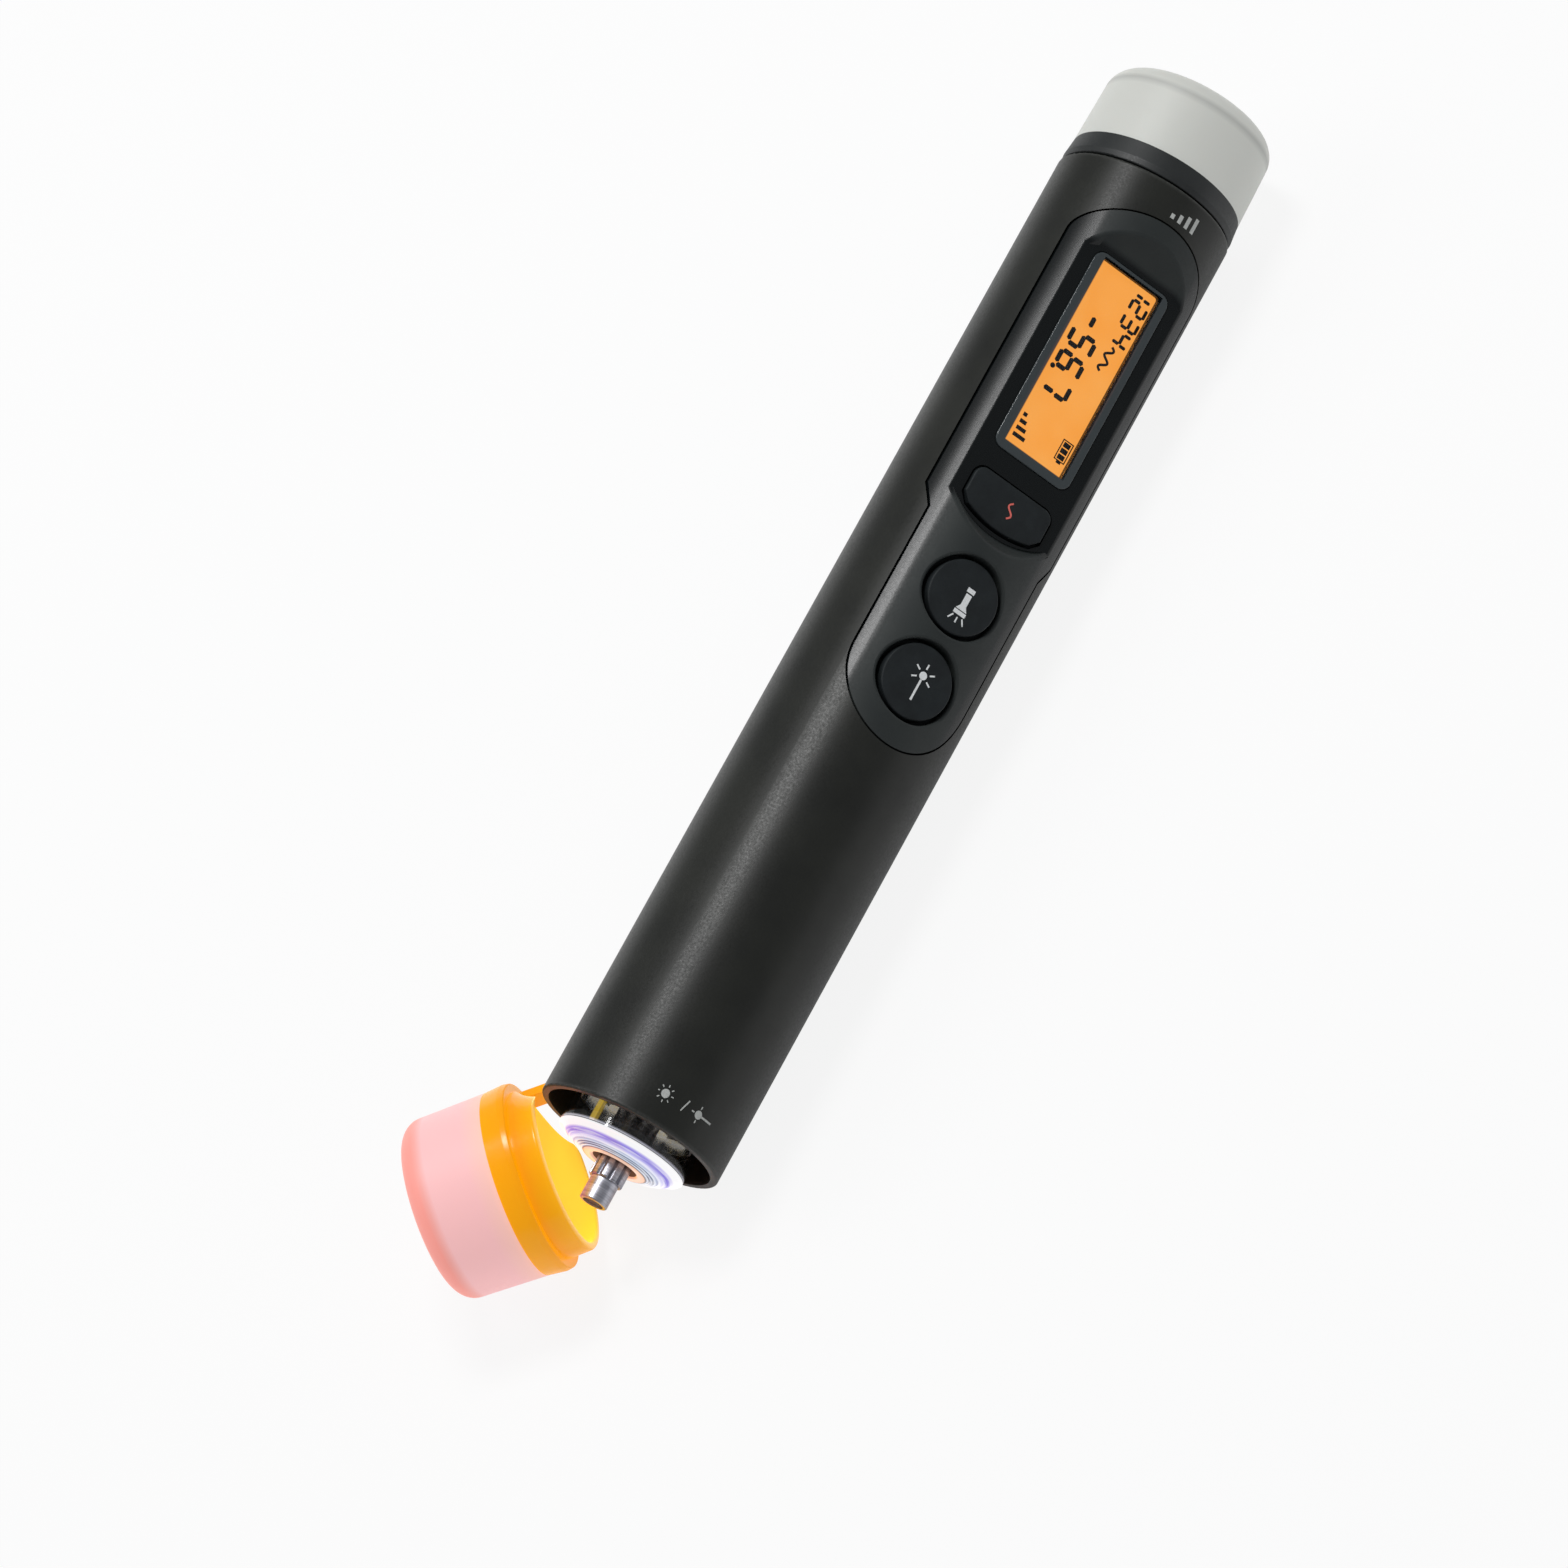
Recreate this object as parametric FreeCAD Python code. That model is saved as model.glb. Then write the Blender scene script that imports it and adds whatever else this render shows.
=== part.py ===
import FreeCAD, Part
import math
import os

# Pen-shaped visual fault locator with an optical power meter and a torch. Millimetres.
# X runs along the barrel, from the laser end's rim (X = 0) to the meter end; Y points at the
# hinges of the two end caps; Z is up. The origin is on the barrel's axis.
# The front panel and all it carries are drawn with +Z as the panel's normal, then turned.

# ---- barrel ----
barrel_r = 12.5
barrel_wall = 1.0
bore_r = barrel_r - barrel_wall
rim_round = 0.3
panel_angle = 50.5        # from straight up to the panel's normal, toward -Y

# ---- gaps ----
seam = 0.25               # round the front panel, and between a shut cap and the rim
fit = 0.1                 # between round faces that sit in one another
snug = 0.02               # between pieces that are pressed or glued together
run = 0.06                # radial play of a turning pin
slide_gap = 0.3           # round a key, in its well
lap = 0.2                 # how far a solid is carried into the one it joins

# ---- cells: two in line set the barrel's length ----
cell_r = 5.25
cell_len = 43.7
cell_nub_r = 1.9
cell_nub = 0.8
cell_round = 0.4
laser_bay = 31.0          # laser end's rim to the first cell
meter_bay = 22.8          # last cell to the meter end's rim
cells_x1 = laser_bay + 2 * (cell_len + cell_nub)
barrel_len = cells_x1 + meter_bay
contact_t = 0.4
contact_edge = 1.15       # cell's side to the contact plate's edge
contact_half = cell_r - contact_edge

# ---- front panel: placed from the meter end's rim, down the barrel ----
panel_end = 5.2           # rim to the panel
panel_top_len = 6.2       # length of the arched top end
pocket_end = 6.6          # panel's end to the pocket's floor
window_end = 0.3          # pocket's floor to the window
window_len = 30.2
key_end = 3.1             # window to the wide key
wide_key_len = 6.9
pocket_lead = 0.5         # wide key to the pocket's other end
step_lead = 1.2           # from there to where the panel widens
step_len = 3.0
torch_pitch = 10.3        # wide key to the torch button's centre
key_pitch = 12.8
panel_lead = 9.3          # laser button's centre to the panel's lower end
panel_low_len = 10.0      # length of the rounded lower end
panel_x1 = barrel_len - panel_end
pocket_x1 = panel_x1 - pocket_end
window_x1 = pocket_x1 - window_end
window_x0 = window_x1 - window_len
wide_key_x1 = window_x0 - key_end
wide_key_x0 = wide_key_x1 - wide_key_len
pocket_x0 = wide_key_x0 - pocket_lead
step_x = pocket_x0 - step_lead
torch_key_x = wide_key_x0 - torch_pitch
laser_key_x = torch_key_x - key_pitch
panel_x0 = laser_key_x - panel_lead

narrow_inset = 3.58       # barrel's side to the panel's edge, at the buttons
wide_inset = 2.3          # and at the display
narrow_half = barrel_r - narrow_inset
wide_half = barrel_r - wide_inset
panel_skirt = 1.0         # wall of the panel's rim, below its face
panel_lining = 0.2        # what the panel's wall has over the barrel's
crown_t = 3.2             # crown to the underside beneath the round buttons
pocket_depth = 3.0        # crown to the floor of the display pocket
under_z = barrel_r - crown_t
pocket_z = barrel_r - pocket_depth
pocket_floor = 1.2
pocket_over = 0.08        # the floor runs out through the panel's sides by this
pocket_slope0 = 2.2       # how far each end wall leans out over its height
pocket_slope1 = 4.0
pocket_slope_side = 0.3
pocket_half = math.sqrt(barrel_r ** 2 - pocket_z ** 2) + pocket_over
pocket_bow = 3.0          # how far the lower end bows out
pocket_corner = 2.0       # the top end's corners, across and along
pocket_corner_x = 1.0
edge_round = 0.35         # at the mouths of the round wells
pocket_soft = 0.8         # at the mouth of the pocket

# ---- display ----
window_side = 2.1         # pocket's side to the window
window_half = pocket_half - window_side
window_round = 1.5
aperture_round = 0.4
window_t = 0.8
window_edge = 0.15
window_proud = 0.2
ledge_low = 1.3           # ledge under the window: toward the keys, at the other end, at the sides
ledge_high = 0.5
ledge_side = 1.35
glass_t = 1.6
glass_margin = 0.9        # display glass beyond the aperture

# ---- keys ----
round_key_r = 5.0
well_gap = 0.6
round_well_r = round_key_r + well_gap
key_sink = 0.8            # crown to the round keys' tops
round_key_z = barrel_r - key_sink
key_dome = 0.25
key_flange = 1.1          # how far a key's flange reaches under the panel
flange_t = 0.7
flange_gap = 0.12
key_travel = 0.5
switch_gap = 0.05
stem_r = 1.6
wide_key_side = 3.7       # panel's edge to the wide key's well
wide_key_half = wide_half - wide_key_side
wide_key_sag = 0.9        # bow of the end toward the buttons
wide_key_cut = 1.2        # its slanted corners, across and along
wide_key_cut_x = 1.3
wide_key_proud = 0.5
wide_key_round = 1.8

# ---- circuit board and switches ----
board_t = 1.0
board_side = 1.52         # panel's edge to the board's
board_half = narrow_half - board_side
board_gap = 0.3           # board to the panel's rim
switch_side = 4.4
switch_body = 1.2
plunger_r = 1.1
plunger_len = 0.65
stem_len = 0.78           # wide key's stem, with its flange
key_stack = flange_gap + stem_len + key_travel + switch_gap + plunger_len + switch_body
deck_z = pocket_z - pocket_floor - key_stack - board_t   # plane that board and panel stand on

# ---- chassis ----
chassis_wall = 1.0
trough_gap = 0.15
trough_r = bore_r - trough_gap
trough_in_r = trough_r - chassis_wall
board_bearing = 1.0       # what the board has of the ledges that carry it and the panel
ledge_half = board_half - board_bearing
ledge_t = 1.0
rib_t = 1.6
end_wall = 1.5
end_gap = 0.2             # end walls to the contact plates
spring_gap = 0.8          # room behind the rear contact
cell_clear = 0.5          # under the cells
cell_z = cell_r + cell_clear - trough_in_r

# ---- laser end ----
seat_x = 4.6              # front face of the bulkhead that carries lamp and laser
seat_t = 4.0
seat_round = 0.4
laser_r = 4.0
laser_len = 16.0
laser_gap = 0.2           # behind the bulkhead's front face
lens_gap = 2.75           # bore to the lamp optic
lens_r = bore_r - lens_gap
lens_wall = 0.8
lens_in_r = lens_r - lens_wall
lens_front = -2.3
lens_hub_r = 3.6
lens_t = 0.9
lens_lip = 1.1
lens_land = 0.3           # flat between the lip and the first ring
lens_rings = 3
ring_step = 0.25
dish_depth = 2.6
lamp_board_t = 0.8
reflector_t = 0.5
reflector_len = 1.9
chip_side = 1.9
chip_t = 0.5
chip_count = 6
chip_ring_r = (lens_in_r - fit - reflector_t + laser_r) / 2
ferrule_r = 1.25
sleeve_wall = 0.35
sleeve_slit = 0.4
sleeve_end = 0.1          # sleeve to the nose's lip
sleeve_back = 2.4         # its other end to the bulkhead's face
adapter_tip = -9.7
nose_len = 3.2
nose_r = 1.9
nose_lip = 0.6            # length of the lip that keeps the sleeve in
nose_play = 0.15
nose_mouth_r = ferrule_r + nose_play
grip_len = 3.9
grip_r = 2.3
base_r = 2.9
flute_count = 10
flute_r = 0.5
flute_out = 0.275         # flute's centre outside the grip

# ---- meter end ----
meter_seat_depth = 4.6    # rim to the bulkhead's outer face
meter_seat_t = 3.0
meter_tip = 8.5           # how far the port stands out of the rim
meter_port_r = 4.4
meter_flange_w = 1.4
meter_flange_t = 1.2
meter_nose_len = 4.0
meter_nose_r = 3.2
detector_r = 2.7
detector_len = 4.0
detector_rim = 0.4
detector_rim_t = 0.5
screw_r = 0.9
screw_head_r = 1.6
screw_head_t = 0.7
screw_floor = 0.2         # under the socket
screw_len = 2.4
screw_ring_r = (bore_r + meter_port_r + meter_flange_w) / 2

# ---- caps and hinges ----
collar_len = 3.5          # rim plane to the cup
collar_inset = 0.35       # barrel's side to the collar's, at the cup; it flares to the rim
collar_r = barrel_r - collar_inset
collar_flare = 1.1
flare_inset = 0.1
rim_r = barrel_r - flare_inset
rim_end_r = barrel_r - seam
collar_wall = 1.25
groove_r = collar_r - collar_wall
cap_len = 15.2
cup_taper = 0.3
cup_end_r = collar_r - cup_taper
cup_round = 2.7
cup_wall = 1.3
tongue_len = 1.6
tongue_gap = 0.04
tongue_wall = 0.8
tongue_r = groove_r - tongue_gap
tongue_in_r = tongue_r - tongue_wall
plug_gap = 0.4
plug_taper = 0.15
plug_wall = 1.2
plug_r = bore_r - plug_gap
plug_in_r = plug_r - plug_wall
plug_len = 3.2
plug_round = 0.6
relief = 0.15             # plug to the rim as the cap swings
hinge_x = 4.9             # pin, inboard of the rim
hinge_rise = 1.15         # pin above the barrel's side
hinge_y = barrel_r + hinge_rise
hinge_z = -3.4            # middle of the hinge, below the cap's middle
pin_r = 0.5
pin_hole = 0.01           # radial play of the pin in its ears
knuckle_r = 0.92
arm_half = 1.6            # half of the arm's width, along the pin
arm_t = 1.0
ear_t = 1.2
ear_gap = 0.12
ear_foot = 1.9
open_angle = 48.7         # the laser end's cap stands open by this

X_AXIS = FreeCAD.Vector(1, 0, 0)
Z_AXIS = FreeCAD.Vector(0, 0, 1)
ORIGIN = FreeCAD.Vector(0, 0, 0)


# ---- shared shapes ----
def rod(x0, x1, r, y=0.0, z=0.0):
    return Part.makeCylinder(r, x1 - x0, FreeCAD.Vector(x0, y, z), X_AXIS)


def post(x, y, z0, z1, r):
    return Part.makeCylinder(r, z1 - z0, FreeCAD.Vector(x, y, z0), Z_AXIS)


def block(x0, x1, y0, y1, z0, z1):
    return Part.makeBox(x1 - x0, y1 - y0, z1 - z0, FreeCAD.Vector(x0, y0, z0))


def half_space(x0, x1, z0, z1):
    """A block as wide as the barrel."""
    return block(x0, x1, -barrel_r, barrel_r, z0, z1)


def turned(points):
    """Solid of revolution about X from (x, radius) points; a triple's third value rounds it."""
    corners = [FreeCAD.Vector(p[0], p[1], 0) for p in points]
    rounds = [p[2] if len(p) > 2 else 0.0 for p in points]
    edges = []
    ends = []
    for i, here in enumerate(corners):
        before, after = corners[i - 1], corners[(i + 1) % len(corners)]
        if not rounds[i]:
            ends.append((here, here))
            continue
        back = (before - here).normalize()
        on = (after - here).normalize()
        half = back.getAngle(on) / 2
        reach = rounds[i] / math.tan(half)
        start, stop = here + back * reach, here + on * reach
        middle = here + (back + on).normalize() * (rounds[i] / math.sin(half) - rounds[i])
        edges.append(Part.Arc(start, middle, stop).toShape())
        ends.append((start, stop))
    for i, (_, start) in enumerate(ends):
        stop = ends[(i + 1) % len(ends)][0]
        if start.distanceToPoint(stop) > 1e-7:
            edges.append(Part.makeLine(start, stop))
    wire = Part.Wire(Part.__sortEdges__(edges))
    return Part.Face(wire).revolve(ORIGIN, X_AXIS, 360)


def half_ellipse(centre_x, end_x, half):
    """Half of an ellipse across X, from (centre_x, half) by (end_x, 0) to (centre_x, -half)."""
    centre = FreeCAD.Vector(centre_x, 0, 0)
    tip = FreeCAD.Vector(end_x, 0, 0)
    side = FreeCAD.Vector(centre_x, half, 0)
    if abs(end_x - centre_x) > half:
        curve = Part.Ellipse(tip, side, centre)
        return Part.ArcOfEllipse(curve, -math.pi / 2, math.pi / 2).toShape()
    curve = Part.Ellipse(side, tip, centre)
    return Part.ArcOfEllipse(curve, 0, math.pi).toShape()


def loop(points):
    return [Part.makeLine(a, b) for a, b in zip(points, points[1:])]


def prism(edges, z0, z1):
    wire = Part.Wire(Part.__sortEdges__(edges))
    wire.translate(FreeCAD.Vector(0, 0, z0))
    return Part.Face(wire).extrude(FreeCAD.Vector(0, 0, z1 - z0))


def rounded_box(x0, x1, half, z0, z1, r):
    solid = block(x0, x1, -half, half, z0, z1)
    upright = [e for e in solid.Edges if abs(e.tangentAt(e.FirstParameter).z) > 0.99]
    return solid.makeFillet(r, upright)


def edges_at_height(solid, z):
    return [e for e in solid.Edges if abs(e.BoundBox.ZMin - z) < 1e-5 and abs(e.BoundBox.ZMax - z) < 1e-5]


def tilt(shape):
    """From the panel's own frame to the object's."""
    tilted = shape.copy()
    tilted.rotate(ORIGIN, X_AXIS, panel_angle)
    return tilted


def meter_face_x():
    """Outer face of the bulkhead at the meter end."""
    return barrel_len - meter_seat_depth


def spin_copies(shape, count):
    copies = []
    for k in range(count):
        one = shape.copy()
        one.rotate(ORIGIN, X_AXIS, 360.0 * k / count)
        copies.append(one)
    return copies


def at_meter_end(shape):
    """The same piece at the other end of the barrel, mirrored."""
    return shape.mirror(FreeCAD.Vector(barrel_len / 2, 0, 0), X_AXIS)


def save(name, shape):
    solids = shape.Solids
    if not shape.isValid() or not solids:
        print("bad shape:", name)
    keep = solids[0] if len(solids) == 1 else Part.makeCompound(solids)
    keep.exportStep("parts/" + name + ".step")


# ---- front panel, in its own frame ----
def panel_outline(grow):
    low_x = panel_x0 + panel_low_len
    top_x = panel_x1 - panel_top_len
    narrow, wide = narrow_half + grow, wide_half + grow
    step = step_x - grow / 2
    edges = [half_ellipse(low_x, panel_x0 - grow, narrow), half_ellipse(top_x, panel_x1 + grow, wide)]
    for side in (-1, 1):
        corners = [(low_x, narrow), (step, narrow), (step + step_len, wide), (top_x, wide)]
        edges += loop([FreeCAD.Vector(x, side * y, 0) for x, y in corners])
    return edges


def pocket_wire(z):
    """Outline of the pocket at a height: straight sides, a bowed lower end, a square top end."""
    rise = (z - pocket_z) / (barrel_r - pocket_z)
    x0 = pocket_x0 - pocket_slope0 * rise
    x1 = pocket_x1 + pocket_slope1 * rise
    half = pocket_half + pocket_slope_side * rise
    shoulder = x0 + pocket_bow
    low = Part.Arc(FreeCAD.Vector(shoulder, half, z), FreeCAD.Vector(x0, 0, z),
                   FreeCAD.Vector(shoulder, -half, z)).toShape()
    corner_x, corner_y = x1 - pocket_corner_x, half - pocket_corner
    points = [(shoulder, -half), (corner_x, -half), (x1, -corner_y), (x1, corner_y), (corner_x, half),
              (shoulder, half)]
    return Part.Wire([low] + loop([FreeCAD.Vector(x, y, z) for x, y in points]))


def wide_key_edges(grow):
    """The wide key's outline: a straight end toward the display, a bowed end toward the buttons."""
    x0, x1 = wide_key_x0 - grow, wide_key_x1 + grow
    half = wide_key_half + grow
    r = wide_key_round + grow
    bow_x = x0 + wide_key_sag
    shoulder = bow_x + wide_key_cut_x
    inner = half - wide_key_cut
    diagonal = r * (1 - math.sqrt(0.5))
    edges = [Part.Arc(FreeCAD.Vector(bow_x, inner, 0), FreeCAD.Vector(x0, 0, 0),
                      FreeCAD.Vector(bow_x, -inner, 0)).toShape(),
             Part.makeLine(FreeCAD.Vector(x1, -half + r, 0), FreeCAD.Vector(x1, half - r, 0))]
    for side in (-1, 1):
        corners = [(bow_x, inner), (shoulder, half), (x1 - r, half)]
        edges += loop([FreeCAD.Vector(x, side * y, 0) for x, y in corners])
        edges.append(Part.Arc(FreeCAD.Vector(x1 - r, side * half, 0),
                              FreeCAD.Vector(x1 - diagonal, side * (half - diagonal), 0),
                              FreeCAD.Vector(x1, side * (half - r), 0)).toShape())
    return edges


def mouth_edges(solid, x0, x1, half):
    """Edges on the panel's outer face inside a stretch of it: the mouth of a well or of the pocket."""
    found = []
    for edge in solid.Edges:
        first, last = edge.ParameterRange
        points = [edge.valueAt(first + (last - first) * k / 4) for k in range(5)]
        on_face = all(abs(math.hypot(p.y, p.z) - barrel_r) < 1e-4 for p in points)
        on_crown = all(abs(p.y) < 1e-4 for p in points)
        if on_face and not on_crown and all(x0 < p.x < x1 and abs(p.y) < half for p in points):
            found.append(edge)
    return found


def make_front_panel():
    top = barrel_r + 1
    solid = prism(panel_outline(0), deck_z, top).common(rod(panel_x0 - 1, panel_x1 + 1, barrel_r))
    reach = round_well_r + slide_gap
    for x in (laser_key_x, torch_key_x):
        solid = solid.cut(post(x, 0, under_z, top, round_well_r))
        solid = solid.makeFillet(edge_round, mouth_edges(solid, x - reach, x + reach, reach))
    solid = solid.cut(Part.makeLoft([pocket_wire(pocket_z), pocket_wire(top)], True, True))
    solid = solid.makeFillet(pocket_soft, mouth_edges(solid, torch_key_x + reach, panel_x1 - slide_gap,
                                                      pocket_half + slide_gap))
    inside = prism(panel_outline(-panel_skirt), deck_z - 1, under_z)
    inside = inside.common(rod(panel_x0, panel_x1, bore_r - panel_lining))
    ceiling_z = pocket_z - pocket_floor
    ceiling = half_space(pocket_x0 - pocket_slope0, panel_x1, ceiling_z, under_z)
    solid = solid.cut(inside.cut(ceiling))
    solid = solid.cut(prism(wide_key_edges(0), deck_z, top))
    rebate_z = pocket_z + window_proud - window_t
    rebate = rounded_box(window_x0 - fit, window_x1 + fit, window_half + fit, rebate_z, top, window_round)
    aperture = rounded_box(window_x0 + ledge_low, window_x1 - ledge_high, window_half - ledge_side,
                           deck_z, top, aperture_round)
    return tilt(solid.cut([rebate, aperture]))


# ---- display, in the panel's frame ----
def make_window():
    top = pocket_z + window_proud
    solid = rounded_box(window_x0, window_x1, window_half, top - window_t, top, window_round)
    return tilt(solid.makeFillet(window_edge, edges_at_height(solid, top)))


def glass_block(z0, z1):
    x0, x1 = window_x0 + ledge_low - glass_margin, window_x1 - ledge_high + glass_margin
    half = window_half - ledge_side + glass_margin
    return tilt(block(x0, x1, -half, half, z0, z1))


def make_display_glass():
    top = pocket_z - pocket_floor
    return glass_block(top - glass_t, top)


def make_backlight():
    """Light guide: fills the room between the board and the glass."""
    return glass_block(board_top_z(), pocket_z - pocket_floor - glass_t)


# ---- keys, in the panel's frame ----
def board_top_z():
    return deck_z + board_t


def plunger_top_z():
    return board_top_z() + switch_body + plunger_len


def wide_key_centre_x():
    return (wide_key_x0 + wide_key_x1) / 2


def key_with_flange(x, cap, top, flange):
    """A key: its crown rounded, with the flange that keeps it in and the stem over its switch."""
    crown = edges_at_height(cap, top)
    stem = post(x, 0, plunger_top_z() + key_travel + switch_gap, flange.BoundBox.ZMax, stem_r)
    return tilt(cap.makeFillet(key_dome, crown).fuse([flange, stem]).removeSplitter())


def make_round_key(x):
    flange_top = under_z - flange_gap
    cap = post(x, 0, flange_top - flange_t, round_key_z, round_key_r)
    flange = post(x, 0, flange_top - flange_t, flange_top, round_key_r + key_flange)
    return key_with_flange(x, cap, round_key_z, flange)


def make_wide_key():
    top = pocket_z + wide_key_proud
    flange_top = pocket_z - pocket_floor - flange_gap
    cap = prism(wide_key_edges(-slide_gap), flange_top - flange_t, top)
    flange = prism(wide_key_edges(key_flange - slide_gap), flange_top - flange_t, flange_top)
    return key_with_flange(wide_key_centre_x(), cap, top, flange)


def make_switches():
    top = board_top_z()
    half = switch_side / 2
    switches = []
    for x in (laser_key_x, torch_key_x, wide_key_centre_x()):
        body = block(x - half, x + half, -half, half, top, top + switch_body)
        switches.append(body.fuse(post(x, 0, top, plunger_top_z(), plunger_r)))
    return tilt(Part.makeCompound(switches))


def make_board():
    """Circuit board: follows the panel's rim, cut to one width along its sides."""
    board = prism(panel_outline(-panel_skirt - board_gap), deck_z, board_top_z())
    x1 = meter_face_x() - meter_seat_t - board_gap
    return tilt(board.common(block(panel_x0, x1, -board_half, board_half, deck_z, board_top_z())))


# ---- barrel ----
def hinge_post(r, half):
    return Part.makeCylinder(r, 2 * half, FreeCAD.Vector(hinge_x, hinge_y, hinge_z - half), Z_AXIS)


def wall_y(inside_r, z_top):
    """How far out a tube's inside reaches, at the upper side of a foot that stands in its wall."""
    return math.sqrt(inside_r * inside_r - z_top * z_top) + lap


def hinge_ears():
    """Two ears on the barrel that hold the pin; their feet run down into the barrel's wall."""
    inner = arm_half + ear_gap
    ears = []
    for z0 in (hinge_z - inner - ear_t, hinge_z + inner):
        low = wall_y(bore_r, z0 + ear_t)
        corners = [(hinge_x - ear_foot, low), (hinge_x - knuckle_r, hinge_y),
                   (hinge_x + knuckle_r, hinge_y), (hinge_x + ear_foot, low), (hinge_x - ear_foot, low)]
        eye = Part.makeCylinder(knuckle_r, ear_t, FreeCAD.Vector(hinge_x, hinge_y, z0), Z_AXIS)
        web = prism(loop([FreeCAD.Vector(x, y, 0) for x, y in corners]), z0, z0 + ear_t)
        ears.append(eye.fuse(web).cut(hinge_post(pin_r + pin_hole, inner + ear_t)))
    return ears


def make_barrel():
    solid = turned([(0, bore_r), (0, barrel_r, rim_round), (barrel_len, barrel_r, rim_round),
                    (barrel_len, bore_r)])
    solid = solid.cut(tilt(prism(panel_outline(seam), 0, barrel_r + 1)))
    ears = hinge_ears()
    return solid.fuse(ears + [at_meter_end(e) for e in ears]).removeSplitter()


def make_hinge_pin():
    return hinge_post(pin_r, arm_half + ear_gap + ear_t)


# ---- chassis, cells and contacts, in the panel's frame ----
def trough_slice(x0, x1, top):
    """A filling of the trough between two places along it, up to a height."""
    return rod(x0, x1, trough_in_r + lap).common(half_space(x0, x1, -barrel_r, top))


def cell_front_x(index):
    return laser_bay + index * (cell_len + cell_nub)


def make_chassis():
    """A trough that fills the barrel: ledges for board and panel, ribs and end walls for the cells."""
    x0, x1 = seat_x + seat_t, meter_face_x() - meter_seat_t
    below_ledge = deck_z - ledge_t
    trough = rod(x0, x1, trough_r).cut(rod(x0, x1, trough_in_r)).common(half_space(x0, x1, -barrel_r, deck_z))
    ledges = rod(x0, x1, trough_r).common(half_space(x0, x1, below_ledge, deck_z))
    ledges = ledges.cut(block(x0, x1, -ledge_half, ledge_half, below_ledge, deck_z))
    front_wall = laser_bay - contact_t - end_gap - end_wall
    rear_wall = cells_x1 + contact_t + spring_gap
    pieces = [ledges]
    for x in (front_wall, rear_wall):
        pieces.append(trough_slice(x, x + end_wall, below_ledge))
    for part_way in (0.25, 0.75):
        for index in (0, 1):
            x = cell_front_x(index) + part_way * cell_len
            rib = trough_slice(x, x + rib_t, cell_z)
            pieces.append(rib.cut(rod(x, x + rib_t, cell_r + fit, 0, cell_z)))
    nest = rod(x0, front_wall, laser_r + fit)
    return tilt(trough.fuse(pieces).removeSplitter().cut(nest))


def make_cell(index):
    x0 = cell_front_x(index)
    can = rod(x0, x0 + cell_len, cell_r, 0, cell_z)
    can = can.makeFillet(cell_round, [e for e in can.Edges if e.isClosed()])
    nub = rod(x0 + cell_len - lap, x0 + cell_len + cell_nub, cell_nub_r, 0, cell_z)
    return tilt(can.fuse(nub))


def make_contact(x0):
    half = contact_half
    return tilt(block(x0, x0 + contact_t, -half, half, cell_z - half, cell_z + half))


# ---- laser end ----
def make_lamp_seat():
    """Bulkhead: closes the barrel behind the lamp and holds the laser module."""
    r = bore_r - fit
    x1 = seat_x + seat_t
    return turned([(seat_x, laser_r + fit), (seat_x, r, seat_round), (x1, r), (x1, laser_r + fit)])


def make_lens():
    """Clear lamp optic: a skirt that stands on the bulkhead and a dished, ringed front."""
    face_r = lens_in_r - lens_land
    width = (face_r - lens_hub_r) / lens_rings
    rings = [(lens_front, lens_r, 0.7), (lens_front, face_r, lens_land)]
    for k in range(lens_rings):
        x_next = lens_front + dish_depth * (k + 1) / lens_rings
        r_out = face_r - k * width
        rings.append((x_next - ring_step, r_out - 0.75 * width))
        rings.append((x_next, r_out - width))
    back = lens_front + dish_depth + lens_t
    rings += [(back, lens_hub_r), (back, lens_in_r - 2 * lens_wall), (lens_front + lens_lip, lens_in_r),
              (seat_x, lens_in_r), (seat_x, lens_r)]
    return turned(rings)


def make_lamp_board():
    x0 = seat_x - lamp_board_t
    inner, outer = laser_r + fit, lens_in_r - fit
    return turned([(x0, inner), (x0, outer), (seat_x, outer), (seat_x, inner)])


def make_chips():
    x1 = seat_x - lamp_board_t
    half = chip_side / 2
    chip = block(x1 - chip_t, x1, -half, half, chip_ring_r - half, chip_ring_r + half)
    return Part.makeCompound(spin_copies(chip, chip_count))


def make_reflector():
    """Bright bowl round the chips, under the dished front."""
    outer = lens_in_r - fit
    x0, x1 = seat_x - lamp_board_t - reflector_len, seat_x - lamp_board_t
    return turned([(x1, outer), (x1, outer - reflector_t), (x0, outer - reflector_t / 2), (x0, outer)])


def make_adapter():
    """Ferrule holder: a base in the bulkhead's bore, a fluted grip and a plain nose with a lip."""
    bore = ferrule_r + sleeve_wall + snug
    grip_x = adapter_tip + nose_len
    grip_end = grip_x + grip_len
    base_x, foot_x = seat_x - lamp_board_t, seat_x + laser_gap
    mouth_x = adapter_tip + nose_lip
    solid = turned([(adapter_tip, nose_mouth_r), (adapter_tip, nose_r, 0.2), (grip_x, nose_r),
                    (grip_x, grip_r, 0.2), (grip_end, grip_r), (grip_end, base_r, 0.2),
                    (base_x, base_r), (base_x, laser_r), (foot_x, laser_r), (foot_x, bore), (mouth_x, bore),
                    (mouth_x, nose_mouth_r)])
    flute = rod(grip_x, grip_end, flute_r, 0, grip_r + flute_out)
    return solid.cut(spin_copies(flute, flute_count))


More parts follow.
